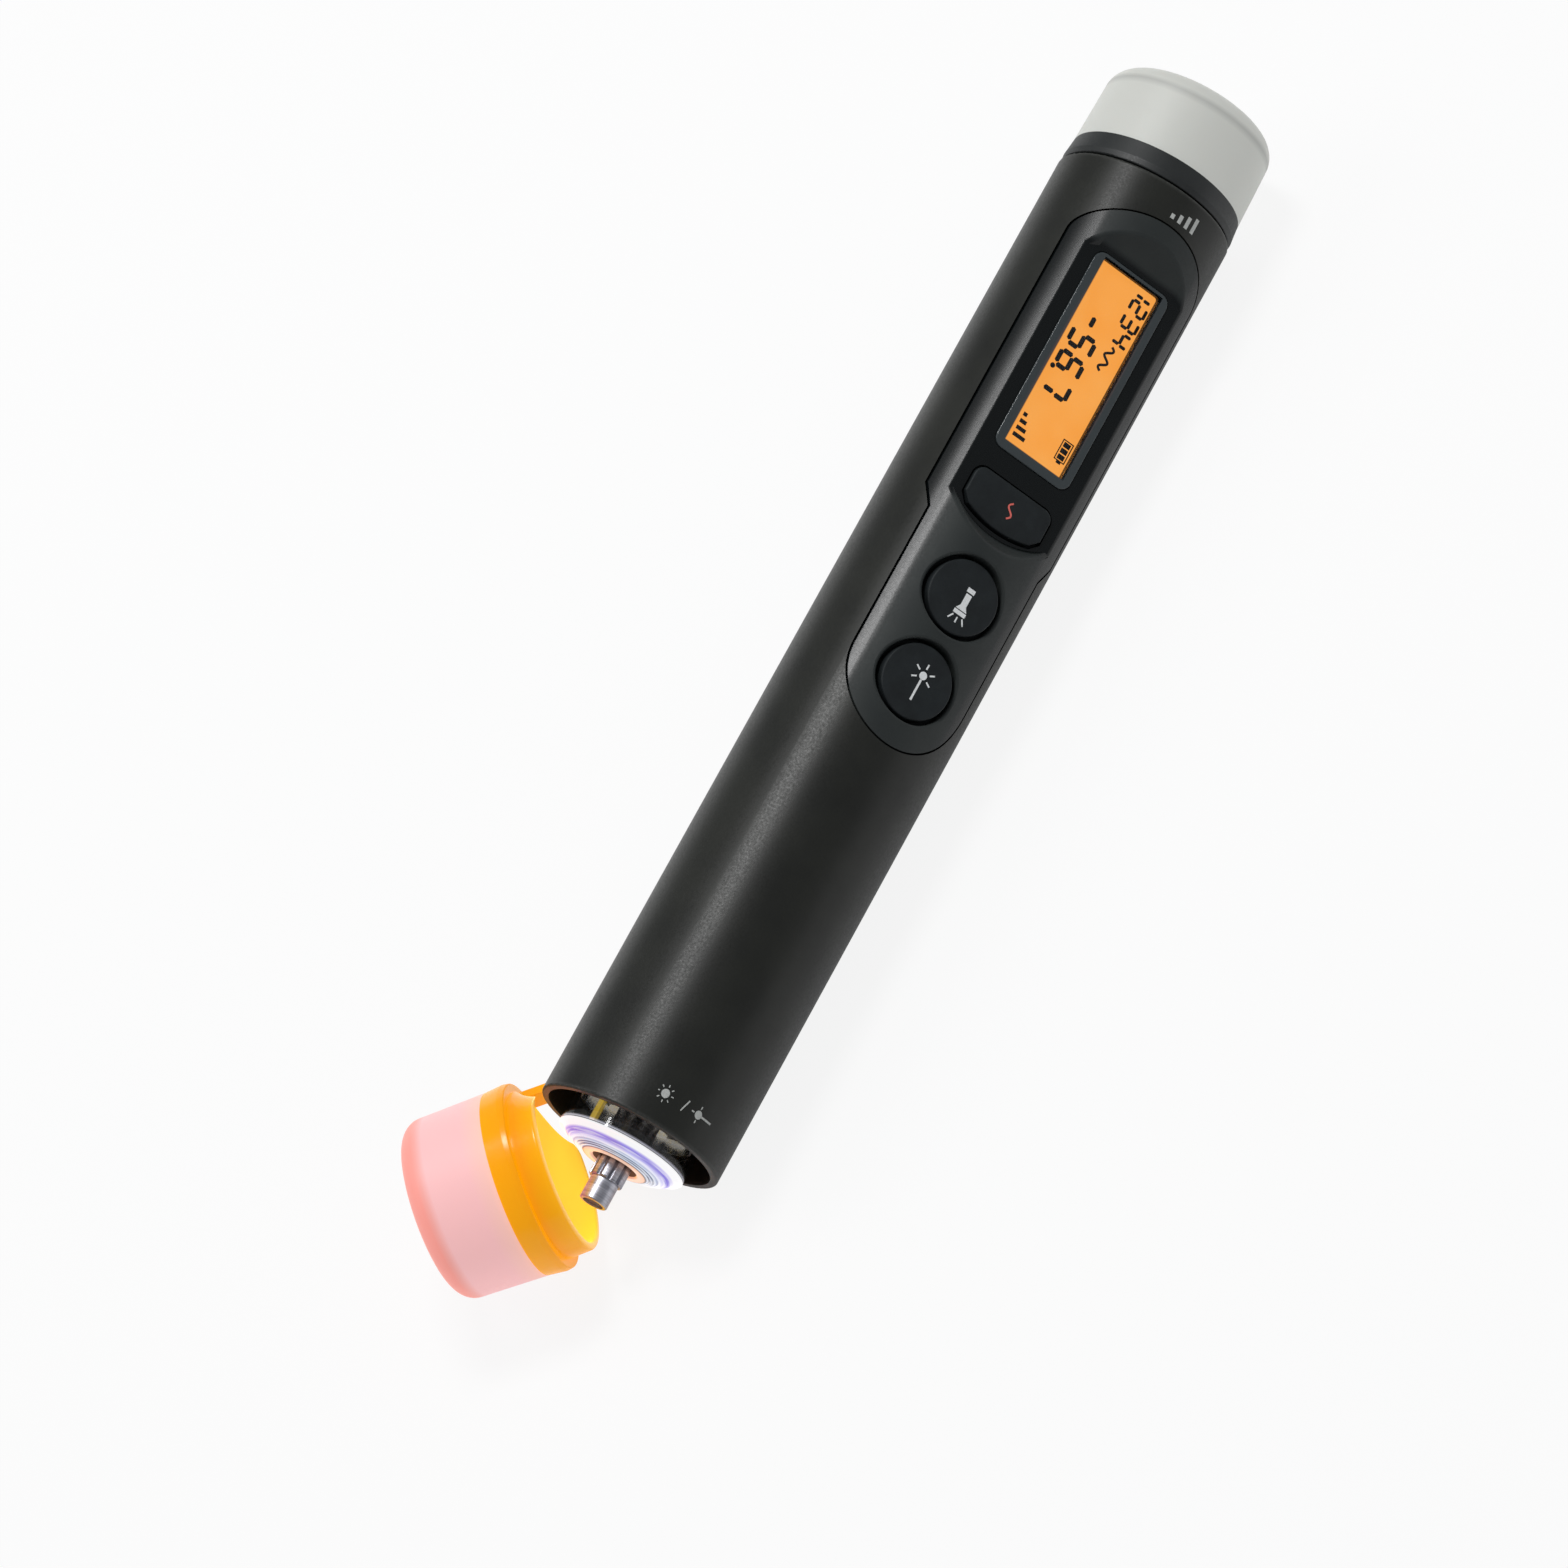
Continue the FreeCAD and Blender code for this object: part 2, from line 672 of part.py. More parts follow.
def make_sleeve():
    """Split ceramic sleeve that grips the ferrule."""
    x0, x1 = adapter_tip + nose_lip + sleeve_end, seat_x - sleeve_back
    outer = ferrule_r + sleeve_wall
    ring = turned([(x0, ferrule_r), (x0, outer), (x1, outer), (x1, ferrule_r)])
    return ring.cut(block(x0, x1, -sleeve_slit / 2, sleeve_slit / 2, 0, 2 * ferrule_r))


def make_laser_module():
    x0 = seat_x + laser_gap
    return turned([(x0, 0), (x0, laser_r), (x0 + laser_len, laser_r, seat_round), (x0 + laser_len, 0)])


# ---- meter end, drawn at its place ----
def make_meter_seat():
    """Bulkhead behind the power meter's port, cut back where the panel's end stands."""
    x1 = meter_face_x()
    x0 = x1 - meter_seat_t
    r = bore_r - fit
    solid = turned([(x0, meter_nose_r + fit), (x0, r), (x1, r, seat_round), (x1, meter_nose_r + fit)])
    solid = solid.cut(tilt(prism(panel_outline(fit), deck_z, barrel_r + 1)))
    holes = [rod(x1 - screw_len, x1, screw_r + snug, side * screw_ring_r) for side in (1, -1)]
    return solid.cut([tilt(hole) for hole in holes])


def make_meter_adapter():
    """Ferrule port of the power meter: a flanged, stepped nose with a through bore to the detector."""
    tip = barrel_len + meter_tip
    face = meter_face_x()
    back = face - meter_seat_t
    flange_r, flange_x = meter_port_r + meter_flange_w, face + meter_flange_t
    nose_x = tip - meter_nose_len
    return turned([(back, ferrule_r), (back, meter_nose_r), (face, meter_nose_r), (face, flange_r),
                   (flange_x, flange_r, 0.3), (flange_x, meter_port_r), (nose_x, meter_port_r, 0.3),
                   (nose_x, meter_nose_r), (tip, meter_nose_r, 0.4), (tip, ferrule_r, 0.3)])


def make_detector():
    x1 = meter_face_x() - meter_seat_t
    rim_x, r = x1 - detector_rim_t, detector_r + detector_rim
    return turned([(x1 - detector_len, 0), (x1 - detector_len, detector_r), (rim_x, detector_r), (rim_x, r),
                   (x1, r), (x1, 0)])


def make_screws():
    x1 = meter_face_x()
    screws = []
    for side in (1, -1):
        shank = rod(x1 - screw_len, x1, screw_r, side * screw_ring_r)
        head = rod(x1, x1 + screw_head_t, screw_head_r, side * screw_ring_r)
        socket = rod(x1 + screw_floor, x1 + screw_head_t, screw_r, side * screw_ring_r)
        screws.append(shank.fuse(head).cut(socket))
    return tilt(Part.makeCompound(screws))


# ---- caps, drawn shut on the laser end ----
def swing_relief():
    """What the rim's inner edge sweeps about the hinge pin: the plug keeps out of it."""
    edge_r = bore_r - lap
    reach = hinge_x + relief
    steps = 8
    points = []
    for k in range(-steps, steps + 1):
        z = edge_r * math.sin(math.pi / 2 * k / steps)
        across = hinge_y - math.sqrt(max(edge_r * edge_r - z * z, 0.0))
        points.append(FreeCAD.Vector(hinge_x, hinge_y - math.hypot(reach, across), z))
    curve = Part.BSplineCurve()
    curve.interpolate(points)
    top, bottom = FreeCAD.Vector(hinge_x, hinge_y, edge_r), FreeCAD.Vector(hinge_x, hinge_y, -edge_r)
    edges = [curve.toShape()] + loop([points[-1], top, bottom, points[0]])
    face = Part.Face(Part.Wire(Part.__sortEdges__(edges)))
    return face.revolve(top, Z_AXIS, 360)


def make_collar():
    """Collar with the plug that enters the barrel, and the arm of the hinge."""
    groove_x = -collar_len + tongue_len + fit
    ring = turned([(-collar_len, groove_r), (-collar_len, collar_r), (-collar_flare, rim_r, 0.6),
                   (-seam, rim_end_r, 0.2), (-seam, plug_in_r), (groove_x, plug_in_r), (groove_x, groove_r)])
    root_x = -seam - lap
    plug = turned([(root_x, plug_in_r), (root_x, plug_r), (plug_len, plug_r - plug_taper, plug_round),
                   (plug_len, plug_in_r, 0.4)])
    plug = plug.cut(swing_relief())
    foot_x = -collar_len + collar_wall / 2
    arm_low = hinge_y - knuckle_r
    z0, z1 = hinge_z - arm_half, hinge_z + arm_half
    foot = block(foot_x, root_x, wall_y(groove_r, z1), arm_low + arm_t, z0, z1)
    arm = block(foot_x, hinge_x, arm_low, arm_low + arm_t, z0, z1)
    eye = hinge_post(knuckle_r, arm_half)
    return ring.fuse([plug, foot, arm, eye]).cut(hinge_post(pin_r + run, arm_half)).removeSplitter()


def make_cup():
    """Frosted end cup: tapered, with a rounded end, and a tongue that sits in the collar."""
    floor_x = -cap_len + cup_wall
    tongue_x = -collar_len + tongue_len
    return turned([(-collar_len, collar_r), (-cap_len, cup_end_r, cup_round), (-cap_len, 0), (floor_x, 0),
                   (floor_x, tongue_in_r, cup_round - cup_wall), (tongue_x, tongue_in_r),
                   (tongue_x, tongue_r), (-collar_len, tongue_r)])


def opened(shape):
    swung = shape.copy()
    swung.rotate(FreeCAD.Vector(hinge_x, hinge_y, 0), Z_AXIS, -open_angle)
    return swung


def main():
    os.makedirs("parts", exist_ok=True)
    collar, cup, pin = make_collar(), make_cup(), make_hinge_pin()
    save("barrel", make_barrel())
    save("front_panel", make_front_panel())
    save("display_window", make_window())
    save("display_glass", make_display_glass())
    save("display_backlight", make_backlight())
    save("wavelength_key", make_wide_key())
    save("torch_button", make_round_key(torch_key_x))
    save("laser_button", make_round_key(laser_key_x))
    save("key_switches", make_switches())
    save("circuit_board", make_board())
    save("chassis", make_chassis())
    save("cell_front", make_cell(0))
    save("cell_rear", make_cell(1))
    save("contact_front", make_contact(laser_bay - contact_t))
    save("contact_rear", make_contact(cells_x1))
    save("lamp_seat", make_lamp_seat())
    save("lamp_lens", make_lens())
    save("lamp_reflector", make_reflector())
    save("lamp_board", make_lamp_board())
    save("lamp_chips", make_chips())
    save("ferrule_adapter", make_adapter())
    save("ferrule_sleeve", make_sleeve())
    save("laser_module", make_laser_module())
    save("meter_seat", make_meter_seat())
    save("meter_adapter", make_meter_adapter())
    save("meter_detector", make_detector())
    save("meter_screws", make_screws())
    save("laser_hinge_pin", pin)
    save("laser_cap_collar", opened(collar))
    save("laser_cap_cup", opened(cup))
    save("meter_hinge_pin", at_meter_end(pin))
    save("meter_cap_collar", at_meter_end(collar))
    save("meter_cap_cup", at_meter_end(cup))


main()
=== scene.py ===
# %% [markdown]
# A pen-shaped tester for optical fibre, dressed for its picture. One end shines a red laser and a torch
# into the work, the other end measures light, and a small display and three keys sit between them.
# The moulded parts come in as finished meshes. What is left for this script is what a mould does not
# give: finishes, printed marks, the display's segments, the lamp's optic, and the light round it all.
# %% Load the parts
import math
import bpy
from mathutils import Matrix, Vector


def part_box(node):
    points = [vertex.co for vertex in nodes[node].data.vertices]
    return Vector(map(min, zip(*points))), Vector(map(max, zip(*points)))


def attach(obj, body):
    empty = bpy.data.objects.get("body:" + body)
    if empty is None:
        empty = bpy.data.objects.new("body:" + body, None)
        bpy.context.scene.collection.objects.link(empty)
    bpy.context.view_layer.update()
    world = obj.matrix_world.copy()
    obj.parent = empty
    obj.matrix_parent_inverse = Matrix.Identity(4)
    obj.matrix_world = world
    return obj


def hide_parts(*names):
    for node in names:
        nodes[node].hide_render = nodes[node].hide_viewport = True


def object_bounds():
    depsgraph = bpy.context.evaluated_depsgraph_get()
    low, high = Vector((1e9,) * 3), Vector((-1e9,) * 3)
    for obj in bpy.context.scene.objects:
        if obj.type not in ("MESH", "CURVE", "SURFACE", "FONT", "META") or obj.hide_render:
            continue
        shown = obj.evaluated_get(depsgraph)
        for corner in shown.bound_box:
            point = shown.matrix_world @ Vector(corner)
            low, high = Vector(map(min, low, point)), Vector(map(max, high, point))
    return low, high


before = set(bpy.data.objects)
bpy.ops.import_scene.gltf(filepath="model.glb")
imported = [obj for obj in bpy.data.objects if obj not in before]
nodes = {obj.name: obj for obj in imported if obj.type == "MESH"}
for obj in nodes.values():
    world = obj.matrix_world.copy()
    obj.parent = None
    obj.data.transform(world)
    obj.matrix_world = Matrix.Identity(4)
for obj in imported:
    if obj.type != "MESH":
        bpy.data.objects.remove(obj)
cad_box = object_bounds()
print(len(nodes), "parts loaded")

# %% [markdown]
# Blender counts in metres and this tool is small, so lengths are written in millimetres and turned
# into metres in one place. The front panel leans on the barrel: its pieces are made lying flat, with
# Z as the panel's normal, and one matrix turns them into place. That is easier than modelling askew.
# %% Units and the panel's lean
MM = 0.001
LEAN_DEG = 50.5
PANEL_LEAN = math.radians(LEAN_DEG)
panel_turn = Matrix.Rotation(PANEL_LEAN, 4, "X")


def flat_box(node):
    """Lowest and highest corner of a part in the panel's own frame, in millimetres."""
    back = panel_turn.inverted()
    corners = [back @ v.co / MM for v in nodes[node].data.vertices]
    low = Vector([min(c[i] for c in corners) for i in range(3)])
    high = Vector([max(c[i] for c in corners) for i in range(3)])
    return low, high


panel_low, panel_high = flat_box("front_panel")
print("the panel runs from", round(panel_low.x, 1), "to", round(panel_high.x, 1), "mm along the barrel")

# %% [markdown]
# Colours are written as they look on a screen, in hex, and the renderer counts in linear light. One
# function turns one into the other, so a finish reads as the colour that it shows. A finish that also
# has emission shows brighter than it is written.
# %% Colour
def linear(hex_colour):
    """Screen colour as #RRGGBB, to linear light with alpha 1."""
    shown = [int(hex_colour[i:i + 2], 16) / 255 for i in (1, 3, 5)]
    return tuple(c / 12.92 if c <= 0.04045 else ((c + 0.055) / 1.055) ** 2.4 for c in shown) + (1.0,)


print("mid grey is", round(linear("#808080")[0], 3), "in linear light")

# %% [markdown]
# A finish is a small graph of nodes. It could be clicked together in the shader editor; in code, one
# function that adds a node with its settings and its links keeps each finish down to a few lines. A
# link is given as a socket of another node, and anything else is a plain value.
# %% Nodes of a finish
def add(material, kind, inputs=None, **settings):
    """Add a node, set its properties and inputs, and link the inputs that are other nodes' outputs."""
    node = material.node_tree.nodes.new(kind)
    for key, value in settings.items():
        setattr(node, key, value)
    for key, value in (inputs or {}).items():
        if isinstance(value, bpy.types.NodeSocket):
            material.node_tree.links.new(value, node.inputs[key])
        else:
            node.inputs[key].default_value = value
    return node


def finish(name, **plain):
    """A new material with a Principled shader; plain values go straight to its sockets."""
    material = bpy.data.materials.new(name)
    material.use_nodes = True
    shader = material.node_tree.nodes["Principled BSDF"]
    for key, value in plain.items():
        shader.inputs[key.replace("_", " ")].default_value = value
    return material, shader


def join(material, output, shader, socket):
    material.node_tree.links.new(output, shader.inputs[socket])


def place_of(material):
    """Where a point is on the object, in metres."""
    return add(material, "ShaderNodeTexCoord").outputs["Object"]


def axes_of(material, vector):
    """A vector's X, Y and Z, each as a socket."""
    return add(material, "ShaderNodeSeparateXYZ", {"Vector": vector}).outputs


def blend_of(material, stops, factor):
    """Colours along a factor: stops are (place, hex)."""
    ramp = add(material, "ShaderNodeValToRGB", {"Fac": factor})
    points = ramp.color_ramp.elements
    points[0].position, points[0].color = stops[0][0], linear(stops[0][1])
    points[1].position, points[1].color = stops[-1][0], linear(stops[-1][1])
    for place, colour in stops[1:-1]:
        points.new(place).color = linear(colour)
    return ramp.outputs["Color"]


def mix_of(material, factor, first, second):
    """Mix two colours, each a socket or a hex colour. A Mix node keeps its colours on sockets 6 and 7."""
    first, second = (linear(c) if isinstance(c, str) else c for c in (first, second))
    node = add(material, "ShaderNodeMix", {0: factor, 6: first, 7: second}, data_type="RGBA")
    return node.outputs[2]


def calc(material, first, second, operation="MULTIPLY"):
    """Two values through one Math node; they are multiplied unless another operation is named."""
    return add(material, "ShaderNodeMath", {0: first, 1: second}, operation=operation).outputs["Value"]


def off_from(material, value, middle):
    """How far a value is from a middle, either way."""
    away = calc(material, value, middle, "SUBTRACT")
    return add(material, "ShaderNodeMath", {0: away}, operation="ABSOLUTE").outputs["Value"]


def range_of(material, value, low, high, to_low=0.0, to_high=1.0):
    """Turn a value between low and high into another range."""
    return add(material, "ShaderNodeMapRange", {"Value": value, "From Min": low, "From Max": high,
                                                "To Min": to_low, "To Max": to_high}).outputs["Result"]


def grain(material, size_mm, where=None, detail=3.0):
    """Fine noise whose lumps are about this size."""
    where = where or place_of(material)
    return add(material, "ShaderNodeTexNoise", {"Vector": where, "Scale": 1 / (size_mm * MM),
                                                "Detail": detail, "Roughness": 0.6}).outputs["Fac"]


def relief(material, shader, height, depth_mm, strength):
    """Bump from a height: how deep it is in millimetres, and how strongly it shows."""
    bump = add(material, "ShaderNodeBump",
               {"Height": height, "Distance": depth_mm * MM, "Strength": strength})
    join(material, bump.outputs["Normal"], shader, "Normal")


def dress(material, *names):
    """Give parts this finish."""
    for name in names:
        slots = nodes[name].data.materials
        slots.clear()
        slots.append(material)


print("helpers for finishes ready")

# %% [markdown]
# The barrel is a moulded ABS tube with a satin, slightly pebbled paint. Such paint gives a broad, soft
# highlight that breaks up into specks, and the rims are rubbed a little brighter. Pebbles of a tenth of
# a millimetre would be usual; they are drawn three times as coarse, or they would not show.
# %% Satin paint of the barrel
satin_paint, shader = finish("satin_paint_on_abs", IOR=1.5, Specular_IOR_Level=0.32)
where = place_of(satin_paint)
pebbles = grain(satin_paint, 0.3, where)
clouds = grain(satin_paint, 9.0, where, 2.0)
tone = blend_of(satin_paint, [(0.30, "#1D1E1B"), (0.62, "#252622")], clouds)
along = axes_of(satin_paint, where)["X"]
barrel_len = flat_box("barrel")[1].x * MM
RUB_FULL, RUB_GONE = 0.1 * MM, 0.6 * MM
rub_low = range_of(satin_paint, along, RUB_FULL, RUB_GONE, 1.0, 0.0)
rub_high = range_of(satin_paint, along, barrel_len - RUB_GONE, barrel_len - RUB_FULL)
rub = calc(satin_paint, calc(satin_paint, rub_low, rub_high, "MAXIMUM"), pebbles)
join(satin_paint, mix_of(satin_paint, rub, tone, "#4B4C49"), shader, "Base Color")
join(satin_paint, range_of(satin_paint, pebbles, 0.3, 0.7, 0.32, 0.46), shader, "Roughness")
relief(satin_paint, shader, pebbles, 0.012, 0.5)
dress(satin_paint, "barrel")
print("barrel painted")

# %% [markdown]
# The front panel is a second moulding in a cooler grey, matt like the barrel but smoother. Its display
# pocket is painted darker, as painted shade in the recess, and is a little glossier. The pocket is
# told from the rest by its height along the panel's normal, which a Mapping node gives by turning the
# coordinates back by the panel's lean.
# %% Panel plastic
panel_plastic, shader = finish("moulded_abs_panel", IOR=1.5, Specular_IOR_Level=0.28)
where = place_of(panel_plastic)


def in_panel_frame(material, where):
    """The point as the panel's own frame has it: along, across and height."""
    return add(material, "ShaderNodeMapping",
               {"Vector": where, "Rotation": (-PANEL_LEAN, 0, 0)}).outputs["Vector"]


POCKET_TOP, POCKET_FLOOR = 10.2 * MM, 9.7 * MM
height = axes_of(panel_plastic, in_panel_frame(panel_plastic, where))["Z"]
pocket_shade_and_gloss = range_of(panel_plastic, height, POCKET_TOP, POCKET_FLOOR)
pebbles = grain(panel_plastic, 0.25, where)
tone = blend_of(panel_plastic, [(0.3, "#2A2E2E"), (0.7, "#313534")], grain(panel_plastic, 7.0, where, 2.0))
# The pocket's darker colour is painted shade in the recess; its lower roughness is real gloss.
join(panel_plastic, mix_of(panel_plastic, pocket_shade_and_gloss, tone, "#0B0F10"), shader, "Base Color")
rough = range_of(panel_plastic, pebbles, 0.3, 0.7, 0.48, 0.60)
join(panel_plastic, calc(panel_plastic, rough, range_of(panel_plastic, pocket_shade_and_gloss, 0, 1, 1.0, 0.5)),
     shader, "Roughness")
relief(panel_plastic, shader, pebbles, 0.008, 0.15)
dress(panel_plastic, "front_panel")
print("panel dressed")

# %% [markdown]
# The keys are silicone rubber with a matt, dusty skin: very dark, slightly blue, with next to no
# highlight. A fine bump keeps the flat tops from looking like paper.
# %% Rubber of the keys
silicone, shader = finish("matt_silicone_rubber", IOR=1.42, Specular_IOR_Level=0.35)
where = place_of(silicone)
dust = grain(silicone, 0.22, where, 4.0)
patches = grain(silicone, 2.5, where, 2.0)
join(silicone, blend_of(silicone, [(0.3, "#1A1E20"), (0.7, "#212628")], patches), shader, "Base Color")
join(silicone, range_of(silicone, dust, 0.3, 0.7, 0.52, 0.68), shader, "Roughness")
relief(silicone, shader, dust, 0.008, 0.5)
dress(silicone, "laser_button", "torch_button", "wavelength_key")
print("keys dressed")

# %% [markdown]
# The marks on the keys are pad-printed: thin, flat ink. Each mark is drawn from a few flat shapes made
# the way one would by hand: a plane or a circle of the right size, with some corners pulled in edit
# mode. The shapes are joined, given the thickness of a coat of ink, and laid on the key.
# %% Flat shapes
INK_COAT = 0.03


def fresh():
    """Leave edit mode and deselect everything, so that the next operator works on new things only."""
    if bpy.context.mode != "OBJECT":
        bpy.ops.object.mode_set(mode="OBJECT")
    bpy.ops.object.select_all(action="DESELECT")


def pick(shape, chosen):
    """Go into edit mode with only the corners selected that pass a test."""
    bpy.context.tool_settings.mesh_select_mode = (True, False, False)
    for part in list(shape.data.polygons) + list(shape.data.edges):
        part.select = False
    for v in shape.data.vertices:
        v.select = chosen(v.co)
    bpy.ops.object.mode_set(mode="EDIT")


def bar(x, y, length, width, turn=0.0, head=1.0):
    """A flat bar about (x, y), in millimetres and degrees; head widens its far end."""
    fresh()
    bpy.ops.mesh.primitive_plane_add(size=1)
    shape = bpy.context.object
    pick(shape, lambda co: co.x > 0)
    bpy.ops.transform.resize(value=(1, head, 1))
    bpy.ops.object.mode_set(mode="OBJECT")
    shape.scale = (length * MM, width * MM, 1)
    shape.rotation_euler.z = math.radians(turn)
    shape.location = (x * MM, y * MM, 0)
    return shape


def disc(x, y, r):
    fresh()
    bpy.ops.mesh.primitive_circle_add(vertices=40, radius=r * MM, fill_type="NGON",
                                      location=(x * MM, y * MM, 0))
    return bpy.context.object


def as_one(shapes, name):
    """Join flat shapes into one mesh at the origin, all facing up."""
    fresh()
    for shape in shapes:
        shape.select_set(True)
    bpy.context.view_layer.objects.active = shapes[0]
    bpy.ops.object.join()
    mark = bpy.context.object
    mark.name = mark.data.name = name
    bpy.ops.object.transform_apply(location=True, rotation=True, scale=True)
    return mark


def lay(mark, x, y, height, turn=0.0):
    """Give a mark the thickness of ink and lay it on the panel's frame at a height."""
    fresh()
    mark.select_set(True)
    bpy.context.view_layer.objects.active = mark
    coat = mark.modifiers.new("ink", "SOLIDIFY")
    coat.thickness = INK_COAT * MM
    coat.offset = 1
    bpy.ops.object.modifier_apply(modifier="ink")
    place = Matrix.Translation(Vector((x, y, height)) * MM) @ Matrix.Rotation(math.radians(turn), 4, "Z")
    mark.matrix_world = panel_turn @ place
    bpy.ops.object.transform_apply(location=True, rotation=True, scale=True)
    return mark


print("flat shapes ready")

# %% [markdown]
# White ink on the two round keys: a torch with three rays on the upper one, and on the lower one a
# plain dot with a beam and short rays. The wide key has a small red wave. Ink is matt, and where it is
# thin the rubber shows through as tiny dark specks, so its colour is broken up by a fine noise.
# %% Inks
def ink(name, hex_colour, worn_hex):
    material, shader = finish(name, IOR=1.5)
    specks = grain(material, 0.12, None, 2.0)
    join(material, blend_of(material, [(0.28, worn_hex), (0.40, hex_colour), (1.0, hex_colour)], specks),
         shader, "Base Color")
    join(material, range_of(material, specks, 0.3, 0.7, 0.45, 0.6), shader, "Roughness")
    return material


def stick(mark, material, body):
    """Give a printed mark its ink and tie it to what it is printed on."""
    mark.data.materials.clear()
    mark.data.materials.append(material)
    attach(mark, body)


white_ink = ink("pad_printed_white_ink", "#F4F6F6", "#A0A6A6")
red_ink = ink("pad_printed_red_ink", "#F4756A", "#A84C44")
grey_ink = ink("pad_printed_grey_ink", "#C2C4C0", "#7A7C79")
print("inks mixed")

# %% Torch mark
TORCH_AT = (79.55, -0.5)
torch_top = flat_box("torch_button")[1].z
torch_mark = as_one([bar(1.95, 0, 0.62, 1.15), bar(0.55, 0, 1.75, 0.86), bar(-0.62, 0, 0.62, 0.9, 180, 1.9),
                     bar(-1.35, 0, 0.56, 1.85), bar(-2.35, 0, 0.8, 0.2), bar(-2.25, 0.95, 0.95, 0.2, -32),
                     bar(-2.25, -0.95, 0.95, 0.2, 32)], "torch_mark")
stick(lay(torch_mark, *TORCH_AT, torch_top), white_ink, "torch_key")
print("torch mark printed")

# %% Laser mark
LASER_AT = (68.5, -0.3)
laser_top = flat_box("laser_button")[1].z
rays = [bar(1.3 * math.cos(a), 1.3 * math.sin(a), 0.75, 0.22, math.degrees(a))
        for a in (math.radians(d) for d in (60, 120, 180, 240, 300))]
laser_mark = as_one([disc(0, 0, 0.55), bar(2.1, 0, 3.0, 0.3)] + rays, "laser_mark")
stick(lay(laser_mark, *LASER_AT, laser_top, 180), white_ink, "laser_key")
print("laser mark printed")

# %% [markdown]
# The wave on the wide key is one thin ribbon. It starts as a long plane cut into many short pieces by
# subdivide, and every row of corners is then shifted sideways by a sine, as proportional editing
# would do by hand.
# %% Wave mark
def wave(name, length, swing, width, turns):
    """A ribbon that follows a sine; swing is how far it goes to either side."""
    fresh()
    bpy.ops.mesh.primitive_plane_add(size=1)
    ribbon = bpy.context.object
    bpy.ops.object.mode_set(mode="EDIT")
    bpy.ops.mesh.select_all(action="SELECT")
    bpy.ops.mesh.subdivide(number_cuts=31)
    bpy.ops.object.mode_set(mode="OBJECT")
    for v in ribbon.data.vertices:
        phase = 2 * math.pi * turns * v.co.x
        slope = math.atan(2 * math.pi * turns * swing / length * math.cos(phase))
        off = v.co.y * width
        v.co.x = (v.co.x * length - off * math.sin(slope)) * MM
        v.co.y = (swing * math.sin(phase) + off * math.cos(slope)) * MM
    return as_one([ribbon], name)


WAVE_AT = (94.0, -0.45)
key_top = flat_box("wavelength_key")[1].z
wave_mark = wave("wave_mark", length=2.2, swing=0.45, width=0.24, turns=1.0)
stick(lay(wave_mark, *WAVE_AT, key_top), red_ink, "wavelength_selector")
print("wave mark printed")

# %% [markdown]
# The display is a liquid crystal glass over an amber light guide. It gives its own light, so the glass
# has emission, a trace brighter in the middle. Its base colour stays dark, or the room's light would
# be added to the amber and wash it out.
# %% Lit display glass
lit_glass, shader = finish("backlit_lcd_glass", IOR=1.52, Roughness=0.25, Emission_Strength=1.0,
                           Specular_IOR_Level=0.2)
where = place_of(lit_glass)
haze = grain(lit_glass, 6.0, where, 1.0)
join(lit_glass, blend_of(lit_glass, [(0.3, "#FFA545"), (0.7, "#FFAD52")], haze), shader, "Emission Color")
join(lit_glass, blend_of(lit_glass, [(0.3, "#4A2C10"), (0.7, "#553414")], haze), shader, "Base Color")
dress(lit_glass, "display_glass")

guide, shader = finish("acrylic_light_guide", IOR=1.49, Roughness=0.3, Emission_Strength=0.6)
where = place_of(guide)
join(guide, blend_of(guide, [(0.3, "#F3E9D6"), (0.7, "#FFF6E6")], grain(guide, 1.0, where)), shader,
     "Base Color")
join(guide, blend_of(guide, [(0.3, "#FFA545"), (0.7, "#FFB765")], grain(guide, 2.0, where)), shader,
     "Emission Color")
dress(guide, "display_backlight")
print("display lit")

# %% [markdown]
# The cover over the display is a thin acrylic plate, printed dark grey all round, so that only the lit
# field shows. Real glass shading would let the plate cast a dark shadow on the display, because the
# renderer does not follow light through it well. A mostly transparent plate with a sharp gloss looks
# the same from outside. The print is told from the clear part by its place, outside a rectangle. A
# little of the display's light leaks into the print beside the long edges, which takes some emission.
# %% Cover plate
BORDER = {"X": (1.3, 0.5), "Y": (1.22, 1.35)}
PRINT_EDGE = 0.07 * MM
LEAK_NEAR, LEAK_FAR, LEAK_FULL, LEAK_GONE = 4.2 * MM, 5.2 * MM, 3.0 * MM, 13.0 * MM
acrylic, shader = finish("clear_acrylic_cover", IOR=1.49, Roughness=0.12)
where = place_of(acrylic)
low, high = flat_box("display_window")
flat = axes_of(acrylic, in_panel_frame(acrylic, where))
clear = 1.0
for i, axis in enumerate("XY"):
    first, last = low[i] + BORDER[axis][0], high[i] - BORDER[axis][1]
    middle, half = (first + last) / 2 * MM, (last - first) / 2 * MM
    off = off_from(acrylic, flat[axis], middle)
    clear = calc(acrylic, range_of(acrylic, off, half + PRINT_EDGE, half - PRINT_EDGE), clear)
haze = grain(acrylic, 3.0, where, 2.0)
smoke = blend_of(acrylic, [(0.3, "#2A3236"), (0.7, "#343D42")], haze)
join(acrylic, mix_of(acrylic, clear, "#3F4547", smoke), shader, "Base Color")
join(acrylic, range_of(acrylic, clear, 0, 1, 1.0, 0.06), shader, "Alpha")
side = off_from(acrylic, flat["Y"], (low.y + high.y) / 2 * MM)
along = off_from(acrylic, flat["X"], (low.x + high.x) / 2 * MM)
leak = calc(acrylic, range_of(acrylic, side, LEAK_FAR, LEAK_NEAR),
            range_of(acrylic, along, LEAK_GONE, LEAK_FULL))
